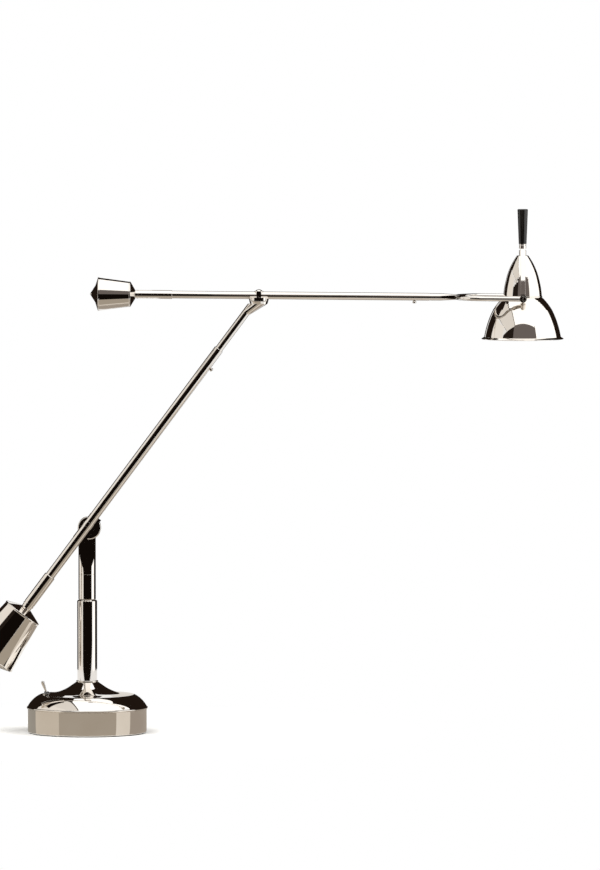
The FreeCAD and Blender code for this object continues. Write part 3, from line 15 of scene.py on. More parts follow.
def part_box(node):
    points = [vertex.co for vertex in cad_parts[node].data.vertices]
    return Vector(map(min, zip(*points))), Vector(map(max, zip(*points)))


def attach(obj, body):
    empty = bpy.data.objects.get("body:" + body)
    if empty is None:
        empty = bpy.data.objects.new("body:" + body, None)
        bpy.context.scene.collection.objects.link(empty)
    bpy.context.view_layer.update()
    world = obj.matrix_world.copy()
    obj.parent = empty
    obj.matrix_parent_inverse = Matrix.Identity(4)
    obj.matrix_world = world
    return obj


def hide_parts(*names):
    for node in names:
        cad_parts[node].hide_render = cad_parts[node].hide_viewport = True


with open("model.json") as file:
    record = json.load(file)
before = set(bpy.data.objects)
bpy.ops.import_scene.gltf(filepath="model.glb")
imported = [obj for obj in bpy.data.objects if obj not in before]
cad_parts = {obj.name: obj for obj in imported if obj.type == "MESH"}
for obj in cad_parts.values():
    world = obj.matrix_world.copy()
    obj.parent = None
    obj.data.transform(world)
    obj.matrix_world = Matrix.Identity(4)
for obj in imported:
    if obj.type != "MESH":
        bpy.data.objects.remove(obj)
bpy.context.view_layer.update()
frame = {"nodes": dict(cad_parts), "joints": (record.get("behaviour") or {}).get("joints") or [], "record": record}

bl_info = {
    "name": "Balance Desk Lamp",
    "version": (1, 0, 0),
    "blender": (4, 5, 0),
    "location": "View3D > Sidebar > Desk Lamp",
    "description": "Finishes a counterweight balance desk lamp and sets it in a studio",
    "category": "Object",
}

MM = 0.001
UP = Vector((0, 0, 1))
WELD = 2e-6

# A turned piece's section is taken just past its own Y axis, or just past its X axis where a
# hole is in the way.
PLANE_OF_CUT = math.radians(91)
CLEAR_OF_HOLES = 0.02

# Edges that bend less than this only divide one curve or one face. More than SHARP is a corner.
BEND_OF_CURVE = math.radians(0.5)
BEND_OF_FACE = math.radians(0.4)
SHARP = math.radians(30)

FINE_RELIEF = 0.00002

BLACK, BROWN = (0.006, 0.004, 0.003), (0.016, 0.01, 0.007)
CREAM, WHITE = (1.0, 0.96, 0.905), (1.0, 1.0, 0.995)

JOINTS = {joint["name"]: joint for joint in frame["joints"]}
SLOTS = {part["node"]: part["material_slot"] for part in frame["record"]["subparts"]}
COLOURS = {m["slot"]: m["base_color"] for m in frame["record"]["materials"]}


def size(name, default, about, low=0.0, high=1000.0):
    """A length that the panel shows, given here in millimetres."""
    return bpy.props.FloatProperty(
        name=name,
        description=about,
        default=default * MM,
        min=low * MM,
        max=high * MM,
        precision=5,
        subtype="DISTANCE",
        unit="LENGTH",
    )


def share(name, default, about, high=1.0):
    """A plain number without a unit."""
    return bpy.props.FloatProperty(
        name=name, description=about, default=default, min=0.0, max=high, subtype="FACTOR"
    )


def colour(name, default, about):
    """A colour, as its red, green and blue shares."""
    return bpy.props.FloatVectorProperty(
        name=name,
        description=about,
        default=default,
        size=3,
        min=0.0,
        max=1.0,
        subtype="COLOR",
    )


def angle(name, degrees, about):
    """An angle, given here in degrees."""
    return bpy.props.FloatProperty(
        name=name, description=about, default=math.radians(degrees), subtype="ANGLE", unit="ROTATION"
    )


class LampEdges(bpy.types.PropertyGroup):
    """How fine the turned pieces are, and how far each kind of edge is eased."""

    steps: bpy.props.IntProperty(
        name="Turning steps", description="Faces round a turned piece", default=144, min=24, max=512
    )
    rings: bpy.props.IntProperty(
        name="Edge rings", description="Faces across an eased edge", default=3, min=1, max=8
    )
    turned: size("Turned edge", 0.28, "Rounding of a turned piece's corners")
    spun: size("Spun edge", 0.12, "Rounding of the thin shade's corners")
    milled: size("Milled edge", 0.22, "Rounding of a milled piece's corners")
    small: size("Small edge", 0.1, "Rounding of a screw's or a nut's corners")
    lever_lean: angle("Lever lean", 20, "How far the switch's lever leans at rest")
    thread_pitch: size("Thread pitch", 0.75, "Pitch of the thread on the switch's neck")
    thread_depth: size("Thread depth", 0.22, "Depth of the thread on the switch's neck")


class LampFinish(bpy.types.PropertyGroup):
    """Colours and roughness of what the lamp is made of."""

    nickel: colour("Nickel", (0.80, 0.765, 0.72), "Polished nickel plate")
    nickel_deep: colour("Nickel in its hollows", (0.755, 0.71, 0.655), "Slightly browner plate")
    polish: share("Polish", 0.03, "Roughness of the polished plate")
    haze: share("Haze", 0.02, "How much rougher the plate is where it was handled")
    satin: share("Satin", 0.34, "Roughness inside the shade")
    lacquer: colour("Lacquer", (0.004, 0.0035, 0.003), "Black lacquer of the handle")
    glass: colour("Bulb", (0.93, 0.91, 0.87), "Frosted glass of the bulb")


class LampStudio(bpy.types.PropertyGroup):
    """The camera, the floor, the screens that the metal reflects, and the light."""

    distance: bpy.props.FloatProperty(
        name="Camera distance",
        description="From the camera to the middle of the picture",
        default=13.816,
        min=1.0,
        max=50.0,
        unit="LENGTH",
    )
    pitch: angle("Camera pitch", 3.3, "How far the camera looks down")
    lens: bpy.props.FloatProperty(
        name="Lens", description="Focal length in millimetres", default=463.4, min=20, max=900
    )
    middle: bpy.props.FloatVectorProperty(
        name="Middle of the picture",
        description="The point that the camera looks at",
        default=(0.2624, 0.0211, 0.3665),
        size=3,
        subtype="TRANSLATION",
        unit="LENGTH",
    )
    floor: size("Floor", 2600, "Radius of the floor", high=9000)
    lit_floor: size("Lit floor", 420, "Radius within which the floor shows shadows", high=9000)
    floor_colour: colour("Floor colour", (0.9, 0.9, 0.89), "Pale floor")
    screens: size("Screens", 1000, "From the lamp to the screens round it", high=9000)
    # How far the fans of painted table-top shade and reflection reach.
    table: size("Table", 660, "Radius of the table top that the metal shows", high=9000)
    roof: size("Roof", 1900, "Height of the dark roof with its white opening", high=9000)
    light: bpy.props.FloatProperty(
        name="Light", description="Power of the lamp overhead, in watts", default=34.0, min=0.0
    )


def edges():
    return bpy.context.scene.lamp_edges


def finish():
    return bpy.context.scene.lamp_finish


def studio():
    return bpy.context.scene.lamp_studio


# Where each group of pieces stands: a piece's own Z axis is the axis it was turned about.


def at_joint(name, axis=None):
    """The place of a joint, with Z along the joint's axis or along the given one."""
    joint = JOINTS[name]
    turn = UP.rotation_difference(Vector(axis or joint["axis"]))
    return Matrix.Translation(joint["pos_m"]) @ turn.to_matrix().to_4x4()


def at_middle(node, axis):
    """The middle of a node's box, with Z along the given axis."""
    low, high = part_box(node)
    turn = UP.rotation_difference(Vector(axis))
    return Matrix.Translation((low + high) / 2) @ turn.to_matrix().to_4x4()


COLUMN = Matrix.Identity(4)
DRUM = at_joint("shoulder_tilt")
LOWER_ARM = at_joint("elbow_roll")
ELBOW = at_joint("elbow_swivel")
UPPER_ARM = at_joint("fork_roll")
HEAD = at_joint("head_tilt", UP)


# Shapes.


def everything(shape):
    return [*shape.verts, *shape.edges, *shape.faces]


def put(name, data):
    """A new object in the scene."""
    thing = bpy.data.objects.new(name, data)
    bpy.context.scene.collection.objects.link(thing)
    return thing


def put_shape(name, shape):
    """A new object with the shape as its mesh."""
    mesh = bpy.data.meshes.new(name)
    shape.to_mesh(mesh)
    shape.free()
    return put(name, mesh)


def cad_copy(node):
    """The node's own mesh with its loose triangles joined up."""
    shape = bmesh.new()
    shape.from_mesh(frame["nodes"][node].data)
    bmesh.ops.remove_doubles(shape, verts=shape.verts, dist=WELD)
    return shape


def cut_section(node, place, azimuth):
    """The outline of a turned piece on one side of its axis, as a chain of edges."""
    shape = cad_copy(node)
    turn = Matrix.Rotation(-azimuth, 4, "Z")
    bmesh.ops.transform(shape, matrix=turn @ place.inverted(), verts=shape.verts)
    bmesh.ops.bisect_plane(
        shape,
        geom=everything(shape),
        dist=WELD,
        plane_co=(0, 0, 0),
        plane_no=(0, 1, 0),
        clear_inner=True,
        clear_outer=True,
    )
    bmesh.ops.bisect_plane(
        shape,
        geom=everything(shape),
        dist=WELD,
        plane_co=(0, 0, 0),
        plane_no=(1, 0, 0),
        clear_inner=True,
    )
    bmesh.ops.remove_doubles(shape, verts=shape.verts, dist=WELD * 5)
    for point in shape.verts:
        point.co.y = 0
        if point.co.x < WELD * 5:
            point.co.x = 0
    inside = [e for e in shape.edges if max(v.co.x for v in e.verts) == 0]
    bmesh.ops.delete(shape, geom=inside, context="EDGES")
    bmesh.ops.dissolve_limit(
        shape, angle_limit=BEND_OF_CURVE, verts=shape.verts, edges=shape.edges
    )
    return shape


def ease(shape, sharp, offset):
    """Round the given edges."""
    bmesh.ops.bevel(
        shape,
        geom=sharp,
        offset=offset,
        offset_type="OFFSET",
        segments=edges().rings,
        profile=0.5,
        affect="EDGES",
        clamp_overlap=True,
        material=-1,
        loop_slide=True,
    )


def sharp_edges(shape):
    """The edges at the shape's corners."""
    return [e for e in shape.edges if len(e.link_faces) == 2 and e.calc_face_angle() > SHARP]


def turn_again(node, place, easing, azimuth=PLANE_OF_CUT):
    """Spin a turned piece's section, and round its corners."""
    shape = cut_section(node, place, azimuth)
    bmesh.ops.spin(
        shape,
        geom=everything(shape),
        cent=(0, 0, 0),
        axis=(0, 0, 1),
        angle=math.tau,
        steps=edges().steps,
        use_merge=True,
    )
    bmesh.ops.remove_doubles(shape, verts=shape.verts, dist=WELD * 2)
    bmesh.ops.recalc_face_normals(shape, faces=shape.faces)
    ease(shape, sharp_edges(shape), easing)
    bmesh.ops.transform(shape, matrix=place, verts=shape.verts)
    return shape


def ease_copy(node, easing):
    """A milled or bent piece as it is, with its corners rounded."""
    shape = cad_copy(node)
    bmesh.ops.dissolve_limit(
        shape, angle_limit=BEND_OF_FACE, verts=shape.verts, edges=shape.edges
    )
    ease(shape, sharp_edges(shape), easing)
    return shape


def keep(shape, name, body, *nodes, slot="nickel"):
    """Make the shape a smooth object that stands for the nodes and rides on the body."""
    piece = put_shape(name, shape)
    mesh = piece.data
    for layer in ("custom_normal", "sharp_edge", "sharp_face"):
        if layer in mesh.attributes:
            mesh.attributes.remove(mesh.attributes[layer])
    mesh.shade_smooth()
    mesh.materials.append(material(slot))
    even = piece.modifiers.new("even_normals", "WEIGHTED_NORMAL")
    even.weight = 90
    even.mode = "FACE_AREA"
    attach(piece, body)
    if nodes:
        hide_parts(*nodes)
    return piece


def turned(node, body, place, easing=None, azimuth=PLANE_OF_CUT):
    """The node turned again about its place's Z axis."""
    offset = edges().turned if easing is None else easing
    name = node + "_turned"
    return keep(turn_again(node, place, offset, azimuth), name, body, node, slot=SLOTS[node])


def eased(node, body, easing=None):
    """The node's own shape with its corners eased."""
    offset = edges().milled if easing is None else easing
    return keep(ease_copy(node, offset), node + "_eased", body, node, slot=SLOTS[node])


# Finishes. Every pattern is laid over the piece's own coordinates.


class Nodes:
    """A material's nodes, made and joined one after another."""

    def __init__(self, name):
        self.material = bpy.data.materials.new("lamp_" + name)
        self.material.use_nodes = True
        self.tree = self.material.node_tree
        self.tree.nodes.clear()
        self.output = self.add("ShaderNodeOutputMaterial")
        self.place = self.add("ShaderNodeTexCoord").outputs["Object"]

    def add(self, kind, **sockets):
        """A node with its sockets set. An underscore stands for a space in a socket's name."""
        node = self.tree.nodes.new(kind)
        for socket, value in sockets.items():
            self.set(node.inputs[socket.replace("_", " ")], value)
        return node

    def set(self, socket, value):
        """Join the socket to another node's, or give it a constant."""
        if isinstance(value, bpy.types.NodeSocket):
            self.tree.links.new(value, socket)
        elif socket.type == "RGBA" and len(value) == 3:
            socket.default_value = (*value, 1)
        else:
            socket.default_value = value

    def noise(self, scale, detail=3.0, stretch=(1, 1, 1), rough=0.5):
        """A cloudy pattern, finer along an axis that has a larger stretch."""
        placed = self.add("ShaderNodeMapping", Vector=self.place)
        placed.inputs["Scale"].default_value = stretch
        made = self.add("ShaderNodeTexNoise", Scale=scale, Detail=detail, Roughness=rough)
        self.set(made.inputs["Vector"], placed.outputs["Vector"])
        return made.outputs["Fac"]

    def spread(self, value, low, high, start=0.3, end=0.7):
        """Take the value from between start and end to between low and high."""
        ranged = self.add("ShaderNodeMapRange", Value=value)
        limits = {"From Min": start, "From Max": end, "To Min": low, "To Max": high}
        for socket, number in limits.items():
            ranged.inputs[socket].default_value = number
        return ranged.outputs["Result"]

    def blend(self, value, first, second):
        """A colour between the first and the second."""
        mixed = self.add("ShaderNodeMix")
        mixed.data_type = "RGBA"
        self.set(mixed.inputs["Factor"], value)
        self.set(mixed.inputs[6], first)
        self.set(mixed.inputs[7], second)
        return mixed.outputs[2]

    def bump(self, height, distance):
        made = self.add("ShaderNodeBump", Height=height, Distance=distance, Strength=1.0)
        return made.outputs["Normal"]

    def shade(self, **sockets):
        """Give the material its surface."""
        shader = self.add("ShaderNodeBsdfPrincipled", **sockets)
        self.set(self.output.inputs["Surface"], shader.outputs[0])


def nickel():
    """Polished plate: a mirror with faint haze and ripples."""
    look = finish()
    made = Nodes("nickel")
    handled = made.noise(38, 4)
    tone = made.blend(made.spread(made.noise(22, 3), 0, 1), look.nickel, look.nickel_deep)
    soft = made.spread(handled, look.polish, look.polish + look.haze, 0.42, 0.8)
    normal = made.bump(made.noise(14, 1), FINE_RELIEF)
    made.shade(Base_Color=tone, Metallic=1.0, Roughness=soft, Normal=normal)
    return made.material


def satin_nickel():
    """The inside of the shade, turned to a fine satin."""
    look = finish()
    made = Nodes("satin_nickel")
    rings = made.noise(160, 3, (0.15, 0.15, 14))
    made.shade(
        Base_Color=made.blend(rings, look.nickel, look.nickel_deep),
        Metallic=1.0,
        Roughness=made.spread(rings, look.satin - 0.05, look.satin + 0.08),
        Normal=made.bump(rings, FINE_RELIEF),
    )
    return made.material


def worked_metal(name, roughness, grain, relief):
    """Machined or cast metal that isn't plated."""
    made = Nodes(name)
    base = COLOURS[name][:3]
    dull = tuple(c * 0.72 for c in base)
    spots = made.noise(grain, 4, rough=0.6)
    made.shade(
        Base_Color=made.blend(made.spread(spots, 0, 1), dull, base),
        Metallic=1.0,
        Roughness=made.spread(spots, roughness + 0.1, roughness - 0.05),
        Normal=made.bump(spots, relief),
    )
    return made.material


def moulded(name, roughness, coat=0.0):
    """Black moulded plastic or rubber, with a fine bloom."""
    made = Nodes(name)
    base = COLOURS[name][:3]
    bloom = tuple(min(1, c * 1.5 + 0.006) for c in base)
    grain = made.noise(700, 3)
    made.shade(
        Base_Color=made.blend(made.spread(made.noise(55, 3), 0, 1), base, bloom),
        Roughness=made.spread(grain, roughness, roughness + 0.12),
        Coat_Weight=coat,
        Normal=made.bump(grain, FINE_RELIEF),
    )
    return made.material


def felt():
    """Pressed wool with short fibres."""
    made = Nodes("felt")
    fibres = made.noise(1500, 4, rough=0.7)
    lumps = made.noise(180, 3)
    made.shade(
        Base_Color=made.blend(made.spread(lumps, 0, 1), (0.03, 0.031, 0.03), (0.06, 0.06, 0.058)),
        Roughness=0.95,
        Sheen_Weight=0.4,
        Normal=made.bump(fibres, 0.0003),
    )
    return made.material


def lacquer():
    """Black lacquer rubbed over turned wood: the grain shows faintly along the handle."""
    made = Nodes("lacquer")
    look = finish()
    grain = made.noise(420, 5, (1, 1, 0.06), 0.65)
    brown = tuple(c * 3.2 for c in look.lacquer)
    made.shade(
        Base_Color=made.blend(made.spread(grain, 0, 1, 0.52, 0.8), look.lacquer, brown),
        Roughness=made.spread(made.noise(70, 3), 0.09, 0.17),
        Normal=made.bump(grain, 0.00003),
    )
    return made.material


def frosted_glass():
    """A white bulb: etched glass that light passes through evenly."""
    made = Nodes("glass")
    frost = made.noise(900, 3)
    cloud = made.spread(made.noise(60, 2), 0, 1)
    made.shade(
        Base_Color=made.blend(cloud, finish().glass, (0.96, 0.95, 0.93)),
        Roughness=made.spread(frost, 0.28, 0.4),
        Subsurface_Weight=0.25,
        Subsurface_Radius=(0.004, 0.004, 0.003),
        Coat_Weight=0.3,
        Coat_Roughness=0.2,
        Normal=made.bump(frost, 0.00001),
    )
    return made.material


MAKERS = {
    "nickel": nickel,
    "satin_nickel": satin_nickel,
    "steel": lambda: worked_metal("steel", 0.3, 240, 0.00003),
    "iron": lambda: worked_metal("iron", 0.62, 130, 0.0002),
    "bronze": lambda: worked_metal("bronze", 0.32, 260, FINE_RELIEF),
    "screw_brass": lambda: worked_metal("screw_brass", 0.26, 300, FINE_RELIEF),
    "felt": felt,
    "rubber": lambda: moulded("rubber", 0.55),
    "insulator": lambda: moulded("insulator", 0.32, 0.2),
    "polymer": lambda: moulded("polymer", 0.45),
    "lacquer": lacquer,
    "glass": frosted_glass,
}


def material(slot):
    """The slot's finish, made the first time that a piece asks for it."""
    return bpy.data.materials.get("lamp_" + slot) or MAKERS[slot]()


class LampOperator:
    """What every step shares."""

    bl_options = {"REGISTER", "UNDO"}


class LAMP_OT_frame(LampOperator, bpy.types.Operator):
    """Give every piece of the frame the finish of its own slot"""

    bl_idname = "lamp.frame"
    bl_label = "Finish the frame"

    def execute(self, context):
        for node, piece in frame["nodes"].items():
            piece.data.materials.clear()
            piece.data.materials.append(material(SLOTS[node]))
        return {"FINISHED"}


class LAMP_OT_base(LampOperator, bpy.types.Operator):
    """Turn the base's cover and side band, and ease the pieces under them"""

    bl_idname = "lamp.base"
    bl_label = "Base"

    def execute(self, context):
        turned("base_cover", "base", COLUMN)
        turned("base_band", "base", COLUMN, azimuth=CLEAR_OF_HOLES)
        turned("column_collar", "base", COLUMN, edges().small)
        turned("felt_pad", "base", COLUMN)
        eased("bottom_plate", "base", edges().small)
        eased("bottom_screws", "base", edges().small)
        turned("cord_inlet", "base", at_middle("cord_inlet", (0, 1, 0)))
        return {"FINISHED"}


class LAMP_OT_switch(LampOperator, bpy.types.Operator):
    """Make the toggle switch: a threaded neck, a chamfered nut and the lever"""

    bl_idname = "lamp.switch"
    bl_label = "Switch"

    def execute(self, context):
        lean = edges().lever_lean
        lever = at_joint("switch_toggle", (-math.sin(lean), 0, math.cos(lean)))
        turned("toggle_lever", "toggle", lever, edges().small)
        eased("switch_nut", "base", edges().milled)
        self.thread_neck()
        return {"FINISHED"}

    def thread_neck(self):
        """A fine thread wound up the neck, from the nut to just under its rim."""
        pitch = edges().thread_pitch
        neck = Matrix.Translation(JOINTS["switch_toggle"]["pos_m"])
        nut_low, nut_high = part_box("switch_nut")
        low = nut_high.z - neck.translation.z
        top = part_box("switch_body")[1].z - neck.translation.z
        crest = self.neck_radius((nut_low + nut_high) / 2)
        root = crest - edges().thread_depth
        turns = int((top - low - pitch) / pitch)
        steps = 48
        shape = bmesh.new()
        corners = ((root, 0), (crest, 0.28), (crest, 0.42), (root, 0.7))
        points = [shape.verts.new((x, 0, low + pitch * rise)) for x, rise in corners]
        for first, second in zip(points, points[1:] + points[:1]):
            shape.edges.new((first, second))
        bmesh.ops.spin(
            shape,
            geom=everything(shape),
            cent=(0, 0, 0),
            axis=(0, 0, 1),
            dvec=(0, 0, pitch / steps),
            angle=math.tau * turns,
            steps=steps * turns,
        )
        bmesh.ops.holes_fill(shape, edges=[e for e in shape.edges if e.is_boundary])
        bmesh.ops.recalc_face_normals(shape, faces=shape.faces)
        bmesh.ops.transform(shape, matrix=neck, verts=shape.verts)
        keep(shape, "neck_thread", "base", slot="nickel")

    def neck_radius(self, middle):
        """The neck's own radius, measured at its rim."""
        points = [v.co for v in frame["nodes"]["switch_body"].data.vertices]
        top = max(p.z for p in points)
        rim = [p for p in points if p.z > top - WELD]
        return max(math.hypot(p.x - middle.x, p.y - middle.y) for p in rim)


class LAMP_OT_column(LampOperator, bpy.types.Operator):
    """Turn the fixed column and the tube that swivels in it"""

    bl_idname = "lamp.column"
    bl_label = "Column"

    def execute(self, context):
        turned("column_tube", "base", COLUMN, azimuth=CLEAR_OF_HOLES)
        turned("swivel_tube", "column", COLUMN)
        turned("thrust_washer", "column", COLUMN, edges().small)
        return {"FINISHED"}


class LAMP_OT_shoulder(LampOperator, bpy.types.Operator):
    """Ease the planed head with its drum, the saddle, the band and the domed nut"""

    bl_idname = "lamp.shoulder"
    bl_label = "Shoulder joint"

    def execute(self, context):
        eased("shoulder_head", "column")
        eased("arm_saddle", "lower_arm")
        eased("pivot_band", "lower_arm", edges().small)
        turned("tilt_washer", "lower_arm", DRUM, edges().small)
        turned("tilt_nut", "lower_arm", DRUM)
        return {"FINISHED"}


class LAMP_OT_lower_arm(LampOperator, bpy.types.Operator):
    """Turn the lower arm's tube, its thick end and its retaining screw"""

    bl_idname = "lamp.lower_arm"
    bl_label = "Lower arm"

    def execute(self, context):
        turned("lower_sleeve", "lower_arm", LOWER_ARM)
        turned("lower_end_sleeve", "lower_arm", LOWER_ARM, edges().small)
        eased("stem_screw", "lower_arm", edges().small)
        return {"FINISHED"}


class LAMP_OT_weights(LampOperator, bpy.types.Operator):
    """Turn the shells and tips of both counterweights"""

    bl_idname = "lamp.weights"
    bl_label = "Counterweights"

    def execute(self, context):
        for side, body, place in (
            ("lower", "lower_arm", LOWER_ARM),
            ("upper", "upper_arm", UPPER_ARM),
        ):
            turned(side + "_weight_shell", body, place)
            turned(side + "_weight_tip", body, place)
        return {"FINISHED"}


class LAMP_OT_elbow(LampOperator, bpy.types.Operator):
    """Ease the elbow's stem with its horn, and turn its plate, washer and bolt"""

    bl_idname = "lamp.elbow"
    bl_label = "Elbow"

    def execute(self, context):
        eased("elbow_stem", "elbow", edges().small)
        eased("elbow_rotor", "upper_arm", edges().small)
        turned("elbow_bolt", "upper_arm", ELBOW, edges().small)
        turned("elbow_washer", "upper_arm", ELBOW, edges().small)
        return {"FINISHED"}


class LAMP_OT_upper_arm(LampOperator, bpy.types.Operator):
    """Ease the upper arm's tube with its boss, and turn its thick end"""

    bl_idname = "lamp.upper_arm"
    bl_label = "Upper arm"

    def execute(self, context):
        eased("upper_sleeve", "upper_arm", edges().small)
        turned("upper_end_sleeve", "upper_arm", UPPER_ARM, edges().small)
        eased("fork_screw", "upper_arm", edges().small)
        return {"FINISHED"}


class LAMP_OT_fork(LampOperator, bpy.types.Operator):
    """Ease the fork's stem, its prongs and the slotted screws"""

    bl_idname = "lamp.fork"
    bl_label = "Fork"

    def execute(self, context):
        for node in ("fork_stem", "fork_prong_near", "fork_prong_far", "pivot_screws"):
            eased(node, "fork", edges().small)
        return {"FINISHED"}


class LAMP_OT_shade(LampOperator, bpy.types.Operator):
    """Turn both bells, with a satin inside, and ease the strap over them"""

    bl_idname = "lamp.shade"
    bl_label = "Shade"

    def execute(self, context):
        for node in ("upper_bell", "lower_bell"):
            bell = turned(node, "head", HEAD, edges().spun)
            self.satin_inside(bell)
        eased("head_strap", "head")
        turned("neck_collar", "head", HEAD, edges().small)
        return {"FINISHED"}

    def satin_inside(self, bell):
        """Every face that looks towards the bell's own axis is satin."""
        bell.data.materials.append(material("satin_nickel"))
        inward = -0.2
        for face in bell.data.polygons:
            outward = face.center - HEAD.translation
            outward.z = 0
            if face.normal.dot(outward.normalized()) < inward:
                face.material_index = 1


class LAMP_OT_handle(LampOperator, bpy.types.Operator):
    """Turn the black handle and its ferrule"""

    bl_idname = "lamp.handle"
    bl_label = "Handle"

    def execute(self, context):
        turned("ferrule", "head", HEAD, edges().small)
        turned("handle", "head", HEAD)
        return {"FINISHED"}


class LAMP_OT_light_source(LampOperator, bpy.types.Operator):
    """Turn the lamp holder, the bulb's cap and the frosted bulb"""

    bl_idname = "lamp.light_source"
    bl_label = "Holder and bulb"

    def execute(self, context):
        turned("lamp_holder", "head", HEAD)
        turned("bulb_cap", "head", HEAD)
        turned("bulb", "head", HEAD, edges().small)
        return {"FINISHED"}


# The studio.


def glow(name, tint, strength):
    """A plain bright surface."""
    made = bpy.data.materials.new(name)
    made.use_nodes = True
    made.node_tree.nodes.clear()
    output = made.node_tree.nodes.new("ShaderNodeOutputMaterial")
    light = made.node_tree.nodes.new("ShaderNodeEmission")
    light.inputs["Color"].default_value = (*tint, 1)
    light.inputs["Strength"].default_value = strength
    made.node_tree.links.new(light.outputs[0], output.inputs["Surface"])
    return made


def only_reflected(thing):
    """The metal shows it, but it neither lights nor shades anything."""
    thing.visible_camera = False
    thing.visible_diffuse = False
    thing.visible_shadow = False
    thing.visible_transmission = False


def add_card(shape, name, tint, strength):
    """Set the shape up as a card that only reflections show."""
    card = put_shape(name, shape)
    card.data.materials.append(glow(name, tint, strength))
    only_reflected(card)


def swept_card(name, reach, top, start, end, tint, strength):
    """An upright card round the lamp. Azimuths are in degrees, from the camera towards +X."""
    degrees_a_step = 4
    shape = bmesh.new()
    shape.edges.new([shape.verts.new((0, -reach, height)) for height in (0, top)])
    turn = Matrix.Rotation(math.radians(start), 3, "Z")
    bmesh.ops.rotate(shape, verts=shape.verts, cent=(0, 0, 0), matrix=turn)
    bmesh.ops.spin(
        shape,
        geom=everything(shape),
        cent=(0, 0, 0),
        axis=(0, 0, 1),
        angle=math.radians(end - start),
        steps=max(2, int((end - start) / degrees_a_step)),
    )
    add_card(shape, name, tint, strength)


def painted_fan_card(name, inner, length, start, end, tint):
    """A card in a painted tone of the table top's shade and reflection, which a round band shows as an upright
    stripe.

    A ray that leaves the band at an azimuth goes on at twice that azimuth.
    """
    degrees_a_step, above_floor = 3, 0.0004
    shape = bmesh.new()
    rows = []
    count = max(2, int((end - start) / degrees_a_step))
    for step in range(count + 1):
        turn = math.radians(start + (end - start) * step / count)
        foot = Vector((inner * math.sin(turn), -inner * math.cos(turn), above_floor))
        away = Vector((math.sin(2 * turn), -math.cos(2 * turn), 0)) * length
        rows.append((shape.verts.new(foot), shape.verts.new(foot + away)))
    for (near, far), (next_near, next_far) in zip(rows, rows[1:]):
        bmesh.ops.contextual_create(shape, geom=[near, far, next_far, next_near])
    # The tint is painted shade and reflection of the white table top, not the table's own colour.
    add_card(shape, name, tint, 1.0)


def flat_card(name, corners, tint, strength=1.0):
    """A flat card with the given corners."""
    shape = bmesh.new()
    bmesh.ops.contextual_create(shape, geom=[shape.verts.new(corner) for corner in corners])
    add_card(shape, name, tint, strength)


def ray_of_background(tree):
    """One for rays that show the background: straight, mirrored or through glass."""
    path = tree.nodes.new("ShaderNodeLightPath")
    either = path.outputs["Is Camera Ray"]
    for kind in ("Is Glossy Ray", "Is Transmission Ray"):
        most = tree.nodes.new("ShaderNodeMath")
        most.operation = "MAXIMUM"
        tree.links.new(either, most.inputs[0])
        tree.links.new(path.outputs[kind], most.inputs[1])
        either = most.outputs[0]
    return either


